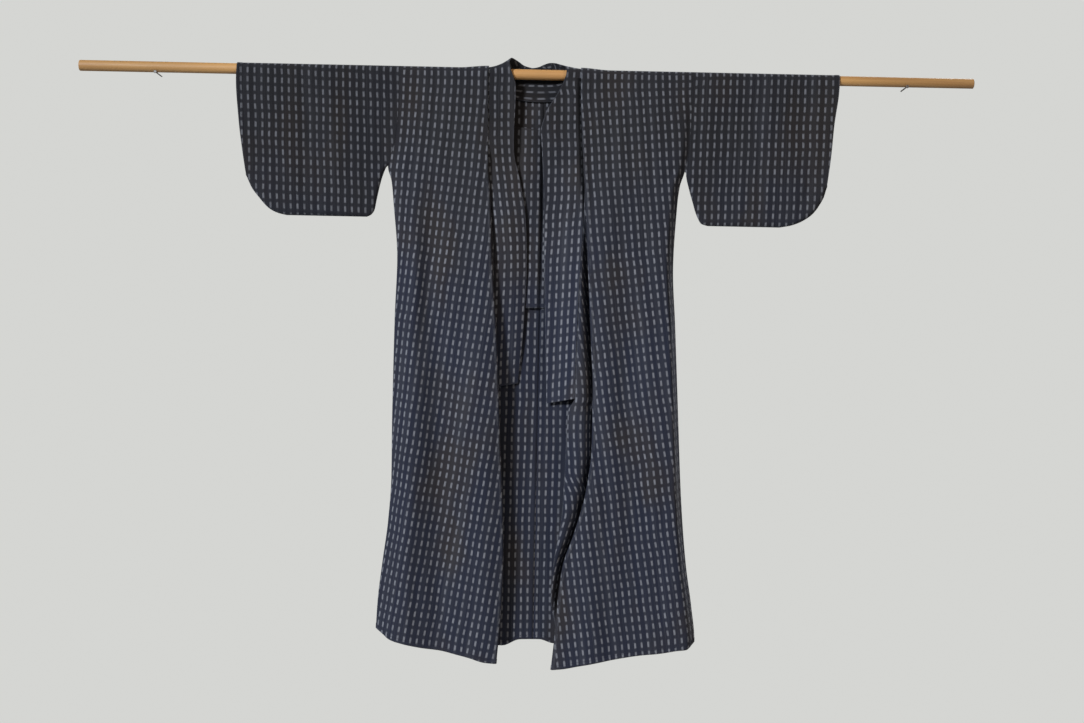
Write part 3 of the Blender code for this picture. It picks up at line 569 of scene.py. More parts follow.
sleeveOutline = {
    "right": millimetres({
        "z":     (-312.5, -308, -298, -277, -252,   -226,   -205, -175, -110,  -20,   20),
        "cuff":  (  -532, -552, -571, -591, -610,   -620,   -624, -629, -638, -645, -643),
        "inner": (  -360, -351, -344, -340, -335, -328.5, -320.5, -300, -300, -300, -300),
    }),
    "left": millimetres({
        "z":     (-317.5, -313, -304, -288, -268, -245,  -205, -161, -97, -20,  20),
        "cuff":  (   528,  552,  575,  598,  613,  624,   630,  635, 640, 649, 650),
        "inner": (   374,  360,  354,  347,  341,  334, 325.5,  330, 330, 330, 330),
    }),
}
sleeveDepth = millimetres({
    "z":    (-320, -200, -100,    0),
    "half": ( 8.5,  9.5, 10.5, 12.5),
})
sleeveFolds = strokes(
    "right",
    (-480,  -20, -482, -360, 30, 4.5),
    (-405,  -30, -400, -240, 18, 2.5),
    (-610,  -90, -560, -230, 26,   4),
    (-350, -120, -362, -330, 18, 3.5),
    "left",
    ( 474,  -30,  470, -260, 28, 4.5),
    ( 566,  -10,  570, -130, 20,   3),
    ( 400,  -60,  392, -330, 26,   3),
    "back",
    (-520,  -40, -500, -330, 30,  -4),
    (-400,  -60, -420, -330, 24,  -3),
    ( 500,  -40,  520, -330, 30,  -4),
    ( 410,  -80,  400, -330, 22,  -3),
)
sleeveCreases = strokes(
    "right",
    (-560,  -50, -330,  -72,  6,  1.2),
    (-620, -150, -520, -205,  9,  1.8),
    (-440, -190, -350, -250, 10,  1.8),
    (-540, -200, -470, -300, 11, -1.8),
    (-602, -200, -560, -290,  7,  1.8),
    (-345,  -60, -325, -200,  7,  1.4),
    "left",
    ( 350,  -56,  600,  -80,  6,  1.2),
    ( 355, -200,  440, -150,  9,  1.8),
    ( 520, -180,  600, -220,  9,  1.6),
    ( 600, -190,  570, -285,  7,  1.8),
    ( 440, -200,  430, -310,  9,  1.6),
    ( 350,  -70,  345, -200,  7,  1.4),
    "back",
    (-560,  -60, -340,  -80,  6,  1.2),
    (-460, -140, -350, -240, 10,  1.8),
    (-600, -190, -560, -290,  7,  1.8),
    ( 350,  -50,  560,  -70,  6,  1.2),
    ( 460, -140,  360, -240, 10,  1.8),
    ( 600, -190,  560, -290,  7,  1.8),
)
sleeveLean = {"right": -0.035, "left": -0.02}      # columns' slope: outwards as they go down

sleeveValues = {
    "cuffEndZ": -0.234,
    "foldFade": 0.02,
    "armholeBlend": 0.05,
    "cuffRound": 0.014,
    "round": 0.012,
    "armholeGap": 0.0003,
    "rowsOpen": 40,            # rows down to the underarm, on to the cuff's end, and below it
    "rowsBetween": 6,
    "rowsShut": 18,
    "columns": 54,
    "edgeColumns": 8,
    "edgeShare": 0.045,
    "rippleDepth": 0.0007,
    "puckerDepth": 0.0006,
    "puckerLength": 0.022,
}


def sleeveInner(side, z):
    atBody = read(bodySide, side, z) + sideSign[side] * sleeveValues["armholeGap"]
    return np.where(z > sewing["underarmZ"], atBody, read(sleeveOutline[side], "inner", z))


def sleeveY(layer, side, x, z):
    v = sleeveValues
    sign = layerSign[layer]
    outline = sleeveOutline[side]
    fromCuff = abs(x - read(outline, "cuff", z))
    fromSeam = abs(x - sleeveInner(side, z))
    atRod = ease(1 + z / sewing["rodBlend"])
    half = lerp(read(sleeveDepth, "half", z), hangRadius(x), atRod)
    half = half + sign * foldDepth(sleeveFolds, layer, side, x, z) * ease(fromCuff / v["foldFade"])
    half = half - sleeveDetail(layer, side, x, z, fromCuff, fromSeam) * (1 - atRod)
    closing = rounding(z - outline["z"][0], v["round"])
    if z > sewing["underarmZ"]:
        bodyHalf = abs(bodyY(layer, side, read(bodySide, side, z), z))
        half = lerp(bodyHalf, half, ease(fromSeam / v["armholeBlend"]))
    else:
        closing = np.minimum(closing, rounding(fromSeam, v["round"]))
    if z <= v["cuffEndZ"]:
        closing = np.minimum(closing, rounding(fromCuff, v["cuffRound"]))
    return sign * half * closing


def sleeveDetail(layer, side, x, z, fromCuff, fromSeam):
    v = sleeveValues
    seed = {"front": 0.4, "back": 2.2}[layer] + {"right": 0.0, "left": 0.9}[side]
    depth = -layerSign[layer] * creaseDepth(sleeveCreases, layer, side, x, z)
    depth = depth + v["rippleDepth"] * ripple(x, z * 1.6, seed) * ease(fromCuff / 0.03)
    pucker = np.sin(2 * np.pi * z / v["puckerLength"] + 1.7 * np.sin(13 * z + seed))
    depth = depth + v["puckerDepth"] * pucker * bell(fromSeam, 0.022) * ease(fromSeam / 0.005)
    # Gathers that run out from the rounded corner
    outX = x - sleeveOutline[side]["cuff"][0]
    upZ = z - sleeveOutline[side]["z"][0] - 0.062
    reach = np.hypot(outX, upZ)
    turn = np.arctan2(upZ, outX * sideSign[side])
    inCorner = ease((reach - 0.028) / 0.03) * ease(-turn / 0.5 + 0.6) * ease((1.9 + turn) / 0.5)
    return depth + 0.0006 * np.sin(19 * turn + seed) * inCorner * ease(1.6 - reach / 0.06)


def buildSleeve(side, material):
    v = sleeveValues
    top, cuffEnd, low = sewing["underarmZ"], v["cuffEndZ"], sleeveOutline[side]["z"][0]
    near = closeColumns(v, "edgeColumns", "edgeShare")
    middle = np.linspace(v["edgeShare"], 1 - v["edgeShare"], v["columns"])
    shares = np.concatenate([near, middle, 1 - near[::-1]])
    last = len(shares) - 1
    shut = 1 - (1 - np.arange(1, v["rowsShut"] + 1) / v["rowsShut"]) ** 2
    rows = rowsDown(np.linspace(sewing["firstRow"], top, v["rowsOpen"]),
                    np.linspace(top, cuffEnd, v["rowsBetween"] + 1)[1:],
                    lerp(cuffEnd, low, shut))
    sheet = Sheet()
    for j, (turned, z) in enumerate(rows):
        cuff = read(sleeveOutline[side], "cuff", z)
        x = lerp(cuff, sleeveInner(side, z), shares)
        ends = [i for i, shutZ in ((0, cuffEnd), (last, top)) if z <= shutZ]
        joined = range(last + 1) if j in (0, len(rows) - 1) else ends
        across = abs(x) + sleeveLean[side] * z
        down = hangRadius(0.5) * math.pi / 2 * turned - z - (abs(x) - 0.45) * sleeveLean[side]
        toHem = abs(x - cuff) + 3 * max(0.0, cuffEnd - z)
        toEdge = np.minimum(abs(x - cuff), z - low)
        for layer in layerSign:
            points = overRod(layer, x, turned) if z == 0 else stacked(x, sleeveY(layer, side, x, z), z)
            places = stacked(across, -layerSign[layer] * down, toHem, toEdge)
            sheet.putRow(layer, j, points, places, joined)
    return sheet.finish("sleeveCloth." + side, material)


# Overlap panels, folded in behind the fronts

overlapReach = millimetres({
    "z":     (-1280, -950, -900, -850, -740, -690, -550, -410, -310, -225),
    "right": (   83,   84,   84,   83,   81,   78,   58,   30,   20,   17),
    "left":  (   83,   82,   76,   62,   57,   59,   49,   32,   22,   17),
})
overlapEdge = millimetres({
    "z":     (-1280, -1200, -1120, -1050, -950, -850, -740, -690),
    "right": (  -80,   -76,   -68,   -66,  -68,  -71,  -76,  -84),
    "left":  (   72,    66,    53,    57,   72,   77,   81,   86),
})
overlapValues = {
    "topZ": -0.225,
    "seam": 0.0005,
    "hemRise": 0.003,
    "levelZ": -0.72,
    "step": 0.022,
    "turnInset": 0.007,        # the fold's depth is taken this far from its outer end
    "nearColumns": 8,          # columns against the front, on the fold, and behind it
    "turnColumns": 6,
    "farColumns": 11,
    "rowsAbove": 50,           # rows above the collar's end, and below it
    "rowsBelow": 70,
}


def overlapPlace(side, distance, z):
    # Places behind the front at these distances from its inner edge; rows rise outwards as its hem does
    v = overlapValues
    low = frontHem[side][-1]
    width = abs(read(bodySide, side, z) - read(frontEdge, side, z))
    rise = read(frontHem, side, 1 - distance / width, "share") - low + v["hemRise"] * ease(distance / 0.04)
    raised = z + np.where(distance > 0, rise, 0) * max(0.0, (z - v["levelZ"]) / (low - v["levelZ"]))
    return read(frontEdge, side, raised) + sideSign[side] * distance, raised


def buildOverlap(side, material):
    v = overlapValues
    outward = sideSign[side]
    corner, low = collarEnd[side][0], frontHem[side][-1]
    back = 2 * sewing["returnRadius"]
    start = sewing["returnRadius"] + sewing["returnRun"] + sewing["gap"]
    heights = np.concatenate([np.linspace(v["topZ"], corner - 0.001, v["rowsAbove"]),
                              np.linspace(corner - v["step"], low + hemRises[0], v["rowsBelow"]),
                              low + hemRises[1:]])
    points = []
    for z in heights:
        edge, reach = read(frontEdge, side, z), read(overlapReach, side, z)
        turnX = edge + outward * (reach - v["turnInset"])
        radius = (behindFrontY(side, turnX, z) - frontLayerY(side, turnX, z) - back) / 2
        if z > corner - v["step"] / 2:
            endX = read(collarFront, side + "_sewn", z) + outward * v["seam"]
        else:
            endX = read(overlapEdge, side, z)
        nearX, nearZ = overlapPlace(side, np.linspace(start, reach - radius, v["nearColumns"]), z)
        near = stacked(nearX, frontLayerY(side, nearX, nearZ) + back, nearZ)
        far = np.linspace(reach - radius, (endX - edge) * outward, v["farColumns"])
        farX, farZ = overlapPlace(side, far, z)
        turns = np.arange(1, v["turnColumns"]) / v["turnColumns"]
        points.append(np.concatenate([near, halfTurn(near[-1], outward, radius, turns),
                                      stacked(farX, behindFrontY(side, farX, farZ), farZ)]))
    points = np.array(points)
    across = runLengths(points, 1)
    toHem = points[:, :, 2] - points[-1:, :, 2]
    toEdge = np.minimum(toHem, across[:, -1:] - across)
    places = stacked(across * outward + 0.1, -points[:, :, 2], toHem, toEdge)
    return gridSheet("overlapCloth." + side, points, places, material)


# Collar: sewn and free edges down the fronts, and its way over the rod and round the neck

collarFront = millimetres({
    "z":          ( -707, -664, -550, -410, -310, -236, -161,  -124,    -78,   -46,    -24,     -8),
    "right_sewn": (-87.5,  -87,  -85,  -83,  -90, -100, -108,  -110, -110.5,  -111, -110.8, -110.5),
    "right_free": (  -29,  -27,  -18,  -13,  -18,  -30,  -46, -46.5,    -45, -44.5,    -45,    -50),
    "left_sewn":  (   95, 95.5, 97.5,  102,  106,  107,  105,   103,    102, 101.5,  101.2,    101),
    "left_free":  (   35, 33.5,   29,   24,   21, 18.5,   14,    11,     23,    42,     54,     60),
})
collarEnd = {"right": (-0.675, -0.665), "left": (-0.695, -0.707)}      # heights of its sewn and free corners
collarLayer = {
    "z":      (-0.240, -0.200, -0.150,    -0.060,    0.000),
    "offset": (0.0120, 0.0114, lapOffset, lapOffset, lapOffset + 0.0008),
}
collarNeck = millimetres(table(
    "sewn_x turn drop rise free_x free_y free_z",
    (-110.5,   4,  0,  0, -53,   -15,    0),
    (-110.5,  28,  0,  0, -57,   -16,   10),
    (  -110,  58,  0, -3, -59,   -12,   26),
    (-109.5,  88,  0, -6, -55,    -1, 35.2),
    (-108.5, 118,  0, -6, -47,     9, 33.5),
    (  -107, 148,  0, -6, -38,    15,   29),
    (  -103, 180,  0, -3, -29,  17.5,   23),
    (   -85, 180, 40,  0, -18,  18.5, 19.5),
    (   -40, 180, 54,  0,  -8,  18.5,   18),
    (     5, 180, 58,  0,   4,    18, 20.5),
    (    50, 180, 54,  0,  15,  17.5, 25.5),
    (    80, 180, 40,  0,  26,    16,   29),
    (    95, 180,  0, -3,  37,    13, 28.5),
    (  98.5, 148,  0, -4,  47,     8,   25),
    (   100, 118,  0,  0,  55,     0,   21),
    (   101,  88,  0,  0,  60,    -8, 16.5),
    ( 101.5,  58,  0,  0,  63, -14.5,   10),
    ( 101.5,  28,  0,  0,  63, -15.8,    3),
    ( 101.3,   4,  0,  0,  62,   -15,   -3),
), plain="turn")
collarCreases = strokes(
    "left",
    (  34, -136,  92, -142,  5,  3.4),
    (  24, -200,  95, -188,  6,  1.4),
    (  85, -160,  78, -420, 10, -1.6),
    (  52, -400,  56, -690, 11,  1.8),
    "right",
    (-108,  -98, -50, -112,  5,  2.2),
    (-100, -180, -46, -170,  6,  1.4),
    ( -80, -200, -62, -520, 10, -1.6),
    ( -60, -480, -52, -660,  8,  1.4),
)
besideEdge = millimetres({      # a roll beside the left front's edge, and the groove between them
    "height": (4.5, -3.5),
    "past":   ( 13,  1.5),
    "width":  (7.5,  5.5),
})
collarValues = {
    "startZ": -0.008,
    "shownWall": 0.0020,
    "edgeWall": 0.0003,
    "swell": {"right": 0.004, "left": -0.002},       # how far the middle of the band stands out
    "swellZ": -0.15,           # it stands out below this height, and the free edge lies free within freeBlend
    "swellBlend": 0.15,
    "freeBlend": 0.1,
    "rim": 0.0014,             # roundness of the folded edges
    "rimShares": (0, 0.006, 0.014, 0.026),           # close columns along them
    "rollZ": (-0.34, -0.015),  # lower and upper end of the roll beside the left front, and how softly it ends
    "rollBlend": (0.08, 0.03),
    # lowest height of the painted groove shade beside the left front
    "grooveZ": -0.36,
    "columns": 15,
    "frontRows": 84,
    "neckSteps": 6,            # rows between two sections round the neck
}


def collarFrontSections(side):
    # Sewn, middle and free points of the band, from the rod down a front
    v = collarValues
    down = np.append(np.linspace(0, 0.996, v["frontRows"]), [0.998, 0.9992, 1])[:, None]
    share = np.array([0, 0.5, 1])
    sewnEnd, freeEnd = collarEnd[side]
    z = lerp(lerp(v["startZ"], sewnEnd, down), lerp(v["startZ"], freeEnd, down), share)
    sewnX = read(collarFront, side + "_sewn", z)
    x = lerp(sewnX, read(collarFront, side + "_free", z), share)
    y = behindFrontY(side, np.where(z < collarLayer["z"][0], sewnX, x), z)
    y = y + share * read(behindDepth, side + "_free", z) * ease(-z / v["freeBlend"])
    swell = 4 * share * (1 - share) * v["swell"][side]
    return stacked(x, y - swell * ease((v["swellZ"] - z) / v["swellBlend"]), z)


def collarNeckSections():
    sections = []
    for x, turn, drop, rise, *free in zip(*collarNeck.values()):
        side = "right" if x < sewing["backSeamX"] else "left"
        radius = rodRadius(x) + 2 * sewing["gap"] + sewing["collarWall"] / 2
        angle = math.radians(turn)
        sewn = np.array([x, -radius * math.cos(angle), radius * math.sin(angle)])
        if drop:
            sewn = np.array([x, bodyY("back", side, x, -drop) - 2 * lapOffset, -drop])
        sections.append([sewn, (sewn + free) / 2 + [0, 0, rise], free])
    return np.array(sections)


def throughSections(sections, steps):
    # A smooth run of sections through the given ones
    padded = np.concatenate([[2 * sections[0] - sections[1]], sections, [2 * sections[-1] - sections[-2]]])
    rows = []
    for a, b, c, d in zip(padded, padded[1:], padded[2:], padded[3:]):
        for t in np.arange(steps) / steps:
            rows.append(0.5 * (2 * b + (c - a) * t + (2 * a - 5 * b + 4 * c - d) * t * t
                               + (3 * b - a - 3 * c + d) * t ** 3))
    return np.array(rows + [sections[-1]])


def buildCollar(material):
    v = collarValues
    right, left = (collarFrontSections(side) for side in sideSign)
    sections = np.concatenate([right[::-1], throughSections(collarNeckSections(), v["neckSteps"]), left])
    rim = np.array(v["rimShares"])
    share = np.concatenate([rim, np.linspace(0.05, 0.95, v["columns"]), 1 - rim[::-1]])[None, :, None]
    sewn, middle, free = (sections[:, k][:, None, :] for k in range(3))
    points = ((1 - share) * (1 - 2 * share) * sewn + 4 * share * (1 - share) * middle
              + share * (2 * share - 1) * free)

    # Beside the left front's edge the band sinks in and then stands up in a roll; the neck's pull creases it
    z = sections[:, :1, 2]
    onLeft = np.arange(len(sections))[:, None] >= len(sections) - len(left)
    past = read(frontEdge, "left", points[:, :, 2]) - points[:, :, 0]
    low, top = v["rollZ"]
    lowBlend, topBlend = v["rollBlend"]
    high = onLeft * ease((z - low) / lowBlend) * ease((top - z) / topBlend)
    for height, place, width in zip(*besideEdge.values()):
        points[:, :, 1] -= height * high * bell(past - place, width)
    for side, there in (("right", ~onLeft), ("left", onLeft)):
        depth = creaseDepth(collarCreases, "front", side, points[:, :, 0], points[:, :, 2])
        points[:, :, 1] += depth * there * (z < -0.01)

    middle = points.shape[1] // 2
    along = runLengths(points, 0)[:, middle:middle + 1]
    across = runLengths(points, 1)
    toEdge = np.minimum(np.minimum(across, across[:, -1:] - across), np.minimum(along, along[-1] - along))
    # In place of a hem's distance: 1, and how far from the groove beside the left front, which places the
    # painted groove shade
    fromGroove = np.where(onLeft & (z > v["grooveZ"]), abs(past - besideEdge["past"][1]), 0.1)
    return gridSheet("collarCloth", points, stacked(across, along, 1 + fromGroove, toEdge), material,
                     rounding(toEdge, v["rim"]), wall=v["shownWall"], single=v["edgeWall"])


# Patch inside the back

patchTop = millimetres({
    "x": (-140,   17,  150),
    "z": ( -98, -120, -138),
})
patchPleat = millimetres({
    "x":       (-140, -90, -45, -15,   0,   8,  11, 14.5,  17,  26, 60, 100, 150),
    "forward": ( 0.5,   1,   3,   6, 8.4, 9.4, 8.4,  2.2, 0.6, 1.2,  3, 1.5, 0.5),
})
patchValues = {"lowZ": -0.502, "rows": 70, "columns": 110}


def buildPatch(material):
    v = patchValues
    xs = np.linspace(patchPleat["x"][0], patchPleat["x"][-1], v["columns"])
    share = np.append(np.linspace(0, 0.97, v["rows"]), [0.974, 0.978, 0.99, 1])[:, None]
    z = lerp(read(patchTop, "z", xs, "x"), v["lowZ"], share)
    inside = np.where(xs < sewing["backSeamX"], bodyY("back", "right", xs, z), bodyY("back", "left", xs, z))
    pleat = read(patchPleat, "forward", xs, "x") * lerp(1, 0.7, abs(2 * share - 1))
    points = stacked(xs, inside - sewing["wall"] - sewing["gap"] - pleat, z)
    toHem = np.minimum(z - v["lowZ"], np.minimum(xs - xs[0], xs[-1] - xs) + 0.004)
    return gridSheet("shoulderPatchCloth", points, stacked(xs, -z, toHem, toHem), material)


# Materials

class Nodes:
    # Short way of adding and joining a material's nodes
    def __init__(self, name):
        self.material = bpy.data.materials.new(name)
        self.material.use_nodes = True
        self.tree = self.material.node_tree
        self.spot = self.put("TexCoord").outputs["Object"]

    def put(self, kind, inputs=None, **settings):
        node = self.tree.nodes.new("ShaderNode" + kind)
        self.give(setAll(node, **settings), inputs or {})
        return node

    def give(self, node, inputs):
        for key, value in inputs.items():
            if isinstance(value, bpy.types.NodeSocket):
                self.tree.links.new(value, node.inputs[key])
            else:
                node.inputs[key].default_value = value

    def shade(self, inputs):
        self.give(self.tree.nodes["Principled BSDF"], inputs)
        return self.material

    def parts(self, vector):
        return list(self.put("SeparateXYZ", {0: vector}).outputs)

    def joined(self, *values):
        return self.put("CombineXYZ", dict(enumerate(values))).outputs[0]

    def math(self, operation, a, b=0):
        return self.put("Math", {0: a, 1: b}, operation=operation).outputs[0]

    def times(self, a, b):
        return self.math("MULTIPLY", a, b)

    def plus(self, a, b):
        return self.math("ADD", a, b)

    def apart(self, a, b):
        return self.math("ABSOLUTE", self.math("SUBTRACT", a, b))

    def offMiddle(self, value):
        # Distance from the middle of the repeat that the value is in
        return self.apart(self.math("FRACT", value), 0.5)

    def shifted(self, value, noise, size):
        return self.plus(value, self.times(self.math("SUBTRACT", noise, 0.5), size))

    def smooth(self, value, low, high, start=0, end=1):
        inputs = {0: value, 1: low, 2: high, 3: start, 4: end}
        return self.put("MapRange", inputs, interpolation_type="SMOOTHSTEP").outputs[0]

    def within(self, value, limit, blur):
        return self.smooth(value, limit - blur, limit + blur, 1, 0)

    def mix(self, share, a, b, blend="MIX"):
        node = self.put("Mix", {0: share, 6: a, 7: b}, data_type="RGBA", blend_type=blend, clamp_factor=True)
        return node.outputs[2]

    def tinted(self, colour, tone):
        return self.mix(1, colour, self.joined(tone, tone, tone), "MULTIPLY")

    def noise(self, vector, scale, detail=2, roughness=0.5):
        scaled = self.put("VectorMath", {0: vector, 1: scale}, operation="MULTIPLY").outputs[0]
        inputs = {"Vector": scaled, "Scale": 1, "Detail": detail, "Roughness": roughness}
        return self.put("TexNoise", inputs).outputs["Fac"]

    def bump(self, strength, distance, height, **normal):
        inputs = {"Strength": strength, "Distance": distance, "Height": height, **normal}
        return self.put("Bump", inputs).outputs[0]


clothColours = {
    "cool": (0.0165, 0.0190, 0.0330, 1),       # low down, where the dye is fresher
    "warm": (0.0190, 0.0188, 0.0225, 1),       # shoulders and sleeves
    "dash": (0.210, 0.213, 0.240, 1),
    "threadLight": (0.055, 0.057, 0.068, 1),
    "rusty": (0.0270, 0.0225, 0.0215, 1),      # patches where the dye has turned brown
    "stitch": (0.010, 0.011, 0.019, 1),
    "dashShare": 0.80,
    "dashAcross": 0.0146,      # repeat of the woven dashes
    "dashDown": 0.0191,
    "dashWidth": 0.0042,
    "dashHeight": 0.0112,
    "wander": 0.0035,          # how far the dashes stray sideways, and how ragged and uneven their ends are
    "ragged": 0.0042,
    "sag": 0.006,
    "topShade": 0.84,          # the shoulders against the rest
    "sleeves": {"right": 0.78, "left": 0.92},        # painted shade: the sleeves darker than the body, the right one more, as light falls off towards the sides
    # painted light: the collar lighter than the body, making up for the light its slope turns away
    "collar": 1.15,
    "neck": 0.78,              # painted shade on the collar near the neck, and again behind it
    "paintedGrooveShade": 0.22,            # painted shade on the collar in its groove beside the left front
    "stitchStep": 0.013,
    "weave": 0.00055,          # distance between threads
    "roughness": 0.88,
    "sheen": 0.10,
}


def makeClothMaterial(name, shade=1, neck=1):
    v = clothColours
    n = Nodes(name)
    place = n.put("UVMap", uv_map="Cloth").outputs[0]
    across, down, _ = n.parts(place)
    toHem, toEdge, _ = n.parts(n.put("UVMap", uv_map="Edges").outputs[0])
    _, depth, height = n.parts(n.spot)

    # Threads wander a little, and dye creeps along the warp so that the dashes' ends are ragged
    wandered = n.shifted(across, n.noise(place, (12, 20, 4), 1), v["wander"])
    ragged = n.shifted(down, n.noise(place, (900, 40, 1), 1), v["ragged"])
    ragged = n.shifted(ragged, n.noise(place, (7, 3, 1), 1), v["sag"])
    column = n.math("DIVIDE", wandered, v["dashAcross"])
    row = n.math("DIVIDE", ragged, v["dashDown"])
    inColumn = n.within(n.offMiddle(column), v["dashWidth"] / 2 / v["dashAcross"], 0.035)
    inRow = n.within(n.offMiddle(row), v["dashHeight"] / 2 / v["dashDown"], 0.09)
    cell = n.joined(n.math("FLOOR", column), n.math("FLOOR", row))
    strength = n.put("TexWhiteNoise", {"Vector": cell}, noise_dimensions="2D").outputs["Value"]
    strength = n.smooth(strength, 0, 1, 0.72, 1)
    threads = n.smooth(n.noise(place, (1500, 60, 1), 1), 0.30, 0.62, 0.62, 1)
    dash = n.times(n.times(inColumn, inRow), n.times(strength, threads))

    # Ground: cool and warm dye, uneven warp and weft threads
    worn = n.shifted(n.smooth(height, -0.65, -0.05), n.noise(n.spot, (5, 5, 5), 3), 1.2)
    warp = n.noise(place, (420, 2.2, 1))
    weft = n.noise(place, (2, 330, 1))
    slubs = n.times(n.smooth(warp, 0.48, 0.78), n.smooth(weft, 0.30, 0.75, 0.5, 1))
    browned = n.noise(n.spot, (9, 9, 4), 3)
    streaks = n.noise(place, (38, 2.4, 1), 3)

    # Hem line with its small stitches, and worn edges
    hemLine = n.smooth(n.apart(toHem, sewing["hemWidth"]), 0, 0.0011, 1, 0)
    fromStitch = n.offMiddle(n.math("DIVIDE", n.plus(across, down), v["stitchStep"]))
    fromThread = n.apart(toHem, sewing["hemWidth"] - 0.0012)
    stitch = n.times(n.within(fromStitch, 0.07, 0.02), n.within(fromThread, 0.0005, 0.0002))
    rubbed = n.noise(n.spot, (60, 60, 60), 3, 0.6)
    wear = n.times(n.smooth(toEdge, 0.0004, 0.0034, 0.75, 0), n.smooth(rubbed, 0.36, 0.62))

    colour = v["cool"]
    for share, above in (
        (worn, "warm"), (n.times(slubs, 0.42), "threadLight"), (n.times(inColumn, 0.22), "threadLight"),
        (n.smooth(browned, 0.46, 0.70, 0, 0.72), "rusty"),
        (n.smooth(streaks, 0.42, 0.75, 0, 0.28), "threadLight"),
        (n.times(dash, v["dashShare"]), "dash"), (wear, "threadLight"),
        (n.times(hemLine, 0.45), "stitch"), (stitch, "stitch"),
    ):
        colour = n.mix(share, colour, v[above])

    # Darker shoulders, painted shade on the sleeves and painted light on the collar; on the collar also
    # painted shade near the neck, behind the rod and in its groove
    tone = n.smooth(height, -0.42, -0.02, shade, shade * v["topShade"])
    # Painted shade on the collar near the neck
    tone = n.times(tone, n.smooth(height, -0.20, -0.09, 1, neck))
    if neck < 1:
        # Painted shade in the collar's groove beside the left front
        fromGroove = n.math("SUBTRACT", toHem, 1)
        tone = n.times(tone, n.smooth(fromGroove, 0.0025, 0.0095, v["paintedGrooveShade"], 1))
    # Painted shade on the collar behind the rod
    tone = n.times(tone, n.smooth(depth, 0.001, 0.014, 1, neck))

    # Small crumples, then weave, hem line and stitches as bump
    crumpled = n.bump(0.7, 0.0026, n.noise(n.spot, (34, 34, 15), 3, 0.55))
    waves = [n.math("SINE", n.times(way, 2 * math.pi / v["weave"])) for way in (across, down)]
    weave = n.plus(n.times(*waves), n.times(warp, 1.5))
    weave = n.math("SUBTRACT", weave, n.times(n.math("MAXIMUM", hemLine, stitch), 2.5))
    return n.shade({
        "Base Color": n.tinted(colour, tone),
        "Normal": n.bump(0.25, 0.0004, weave, Normal=crumpled),
        "Roughness": n.smooth(weft, 0.3, 0.7, v["roughness"] - 0.05, v["roughness"] + 0.05),
        "Sheen Weight": v["sheen"],
        "Sheen Roughness": 0.45,
        "Sheen Tint": (0.75, 0.78, 0.90, 1),
        "Specular IOR Level": 0.10,
    })


woodColours = {
    "light": (0.550, 0.303, 0.108, 1),
    "dark": (0.380, 0.180, 0.058, 1),
    "worn": (0.280, 0.145, 0.058, 1),
    "middle": 1.08,            # painted light: paler in the middle, darker at the ends
    "ends": 0.72,
}


def makeWoodMaterial():
    v = woodColours
    n = Nodes("rodWood")
    x, y, z = n.parts(n.spot)
    bent = n.noise(n.spot, (1.4, 30, 30))
    rings = n.math("SINE", n.plus(n.plus(n.times(y, 240), n.times(z, 90)), n.times(bent, 16)))
    fibres = n.noise(n.spot, (9, 900, 900), 3, 0.6)
    pores = n.noise(n.spot, (60, 2200, 2200), 1)
    handled = n.noise(n.spot, (6, 20, 20), 3)
    grain = n.plus(n.smooth(rings, -1, 1, 0, 0.45), n.smooth(fibres, 0.35, 0.75, 0, 0.55))
    colour = n.mix(grain, v["light"], v["dark"])
    for share in (n.smooth(pores, 0.66, 0.78, 0, 0.5), n.smooth(handled, 0.52, 0.80, 0, 0.45)):
        colour = n.mix(share, colour, v["worn"])
    return n.shade({
        # Painted light: the rod paler in the middle than at its ends
        "Base Color": n.tinted(colour, n.smooth(n.math("ABSOLUTE", x), 0.45, 0.85, v["middle"], v["ends"])),
        "Roughness": n.smooth(fibres, 0.3, 0.8, 0.42, 0.60),
        "Normal": n.bump(0.35, 0.0004, n.plus(fibres, pores)),
    })


def makeNailMaterial():
    n = Nodes("nailSteel")
    rust = n.noise(n.spot, (300, 300, 300), 3, 0.6)
    return n.shade({
        "Base Color": n.mix(n.smooth(rust, 0.5, 0.68), (0.20, 0.19, 0.18, 1), (0.12, 0.055, 0.025, 1)),
        "Metallic": n.smooth(rust, 0.5, 0.68, 1.0, 0.1),
        "Roughness": n.smooth(rust, 0.4, 0.7, 0.38, 0.85),
        "Normal": n.bump(0.3, 0.0002, rust),
    })


# Stage: camera, light and a plain pale floor

stageValues = {
    "cameraPlace": (0.0235, -3.24, -0.6166),
    "cameraRoll": 1.186,        # degrees; the rod slopes down to the viewer's right
    "lens": 50,
    "sensor": 36,
    "lampSize": 2.1,
    "lampTarget": (0, 0, -0.6),
    "floorZ": -1.95,
    "floorRadius": 2.1,
    "floorColours": ((0.42, 0.42, 0.41, 1), (0.46, 0.46, 0.45, 1)),
    "surround": (0.665, 0.670, 0.650, 1),      # as seen
    "surroundLight": 0.25,      # share of it that lights the cloth
}
lights = table(
    "name        place                 power  colour",
    ("coolWindow", (-6.6, -7.0, 3.4), 1390.0, (0.88, 0.94, 1.00)),
    ("warmLamp",   (7.2, -6.1, 3.4),   215.0, (1.00, 0.82, 0.62)),
    ("backWindow", (5.5, 7.6, 6.0),   1350.0, (0.94, 0.97, 1.00)),
)


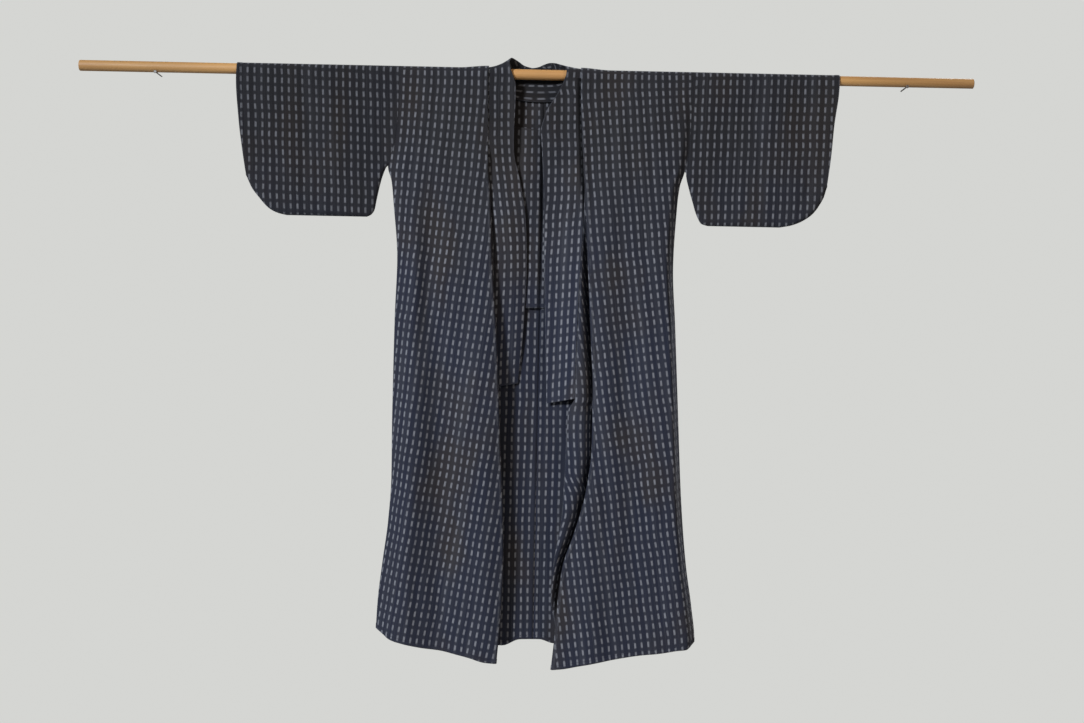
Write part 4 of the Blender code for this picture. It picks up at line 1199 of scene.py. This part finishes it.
def makeStage():
    v = stageValues
    scene = bpy.context.scene
    camera = addToScene("camera", bpy.data.cameras.new("camera"))
    setAll(camera.data, lens=v["lens"], sensor_width=v["sensor"])
    setAll(camera, location=v["cameraPlace"], rotation_euler=(math.pi / 2, -math.radians(v["cameraRoll"]), 0))
    scene.camera = camera

    for name, place, power, colour in zip(*lights.values()):
        lamp = addToScene(name, bpy.data.lights.new(name, "AREA"))
        setAll(lamp.data, shape="DISK", size=v["lampSize"], energy=power, color=colour)
        aim = (Vector(v["lampTarget"]) - Vector(place)).to_track_quat("-Z", "Y")
        setAll(lamp, location=place, rotation_euler=aim.to_euler(), visible_camera=False)

    world = bpy.data.worlds.new("surround")
    world.use_nodes = True
    tree = world.node_tree
    seen = tree.nodes.new("ShaderNodeLightPath")
    strength = tree.nodes.new("ShaderNodeMapRange")
    strength.inputs["To Min"].default_value = v["surroundLight"]
    tree.links.new(seen.outputs["Is Camera Ray"], strength.inputs["Value"])
    tree.links.new(strength.outputs[0], tree.nodes["Background"].inputs["Strength"])
    tree.nodes["Background"].inputs["Color"].default_value = v["surround"]
    scene.world = world
    scene.view_settings.view_transform = "Standard"

    shape = bmesh.new()
    bmesh.ops.create_circle(shape, cap_ends=True, segments=96, radius=v["floorRadius"],
                            matrix=Matrix.Translation((0, 0, v["floorZ"])))
    mesh = bpy.data.meshes.new("floor")
    shape.to_mesh(mesh)
    shape.free()
    n = Nodes("floorPaint")
    clouds = n.noise(n.spot, (3.0, 3.0, 3.0), 3.0)
    mesh.materials.append(n.shade({"Base Color": n.mix(clouds, *v["floorColours"]), "Roughness": 0.9}))
    addToScene("floor", mesh)


# Making everything

def main():
    fabric = makeClothMaterial("kasuriCotton")
    # The collar's copy of the cloth is painted lighter, with painted shade near the neck and in its groove
    collarFabric = makeClothMaterial("kasuriCollarPaintedLightAndShade", clothColours["collar"], clothColours["neck"])
    pieces = {}
    for side in sideSign:
        # Each sleeve gets its own copy of the cloth, with painted shade
        sleeveFabric = makeClothMaterial("kasuriSleevePaintedShade." + side, clothColours["sleeves"][side])
        pieces["body_" + side] = buildBody(side, fabric)
        pieces["sleeve_" + side] = buildSleeve(side, sleeveFabric)
        pieces["overlap_" + side] = buildOverlap(side, fabric)
        print("cloth of the", side, "side made")
    pieces["collar"] = buildCollar(collarFabric)
    pieces["shoulder_patch"] = buildPatch(fabric)
    print("collar and patch made")

    for node, piece in pieces.items():
        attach(piece, "root")
        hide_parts(node)

    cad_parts["rod"].data.materials[0] = makeWoodMaterial()
    steel = makeNailMaterial()
    for side in sideSign:
        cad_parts["nail_" + side].data.materials[0] = steel
    makeStage()
    print("materials and stage made")


main()
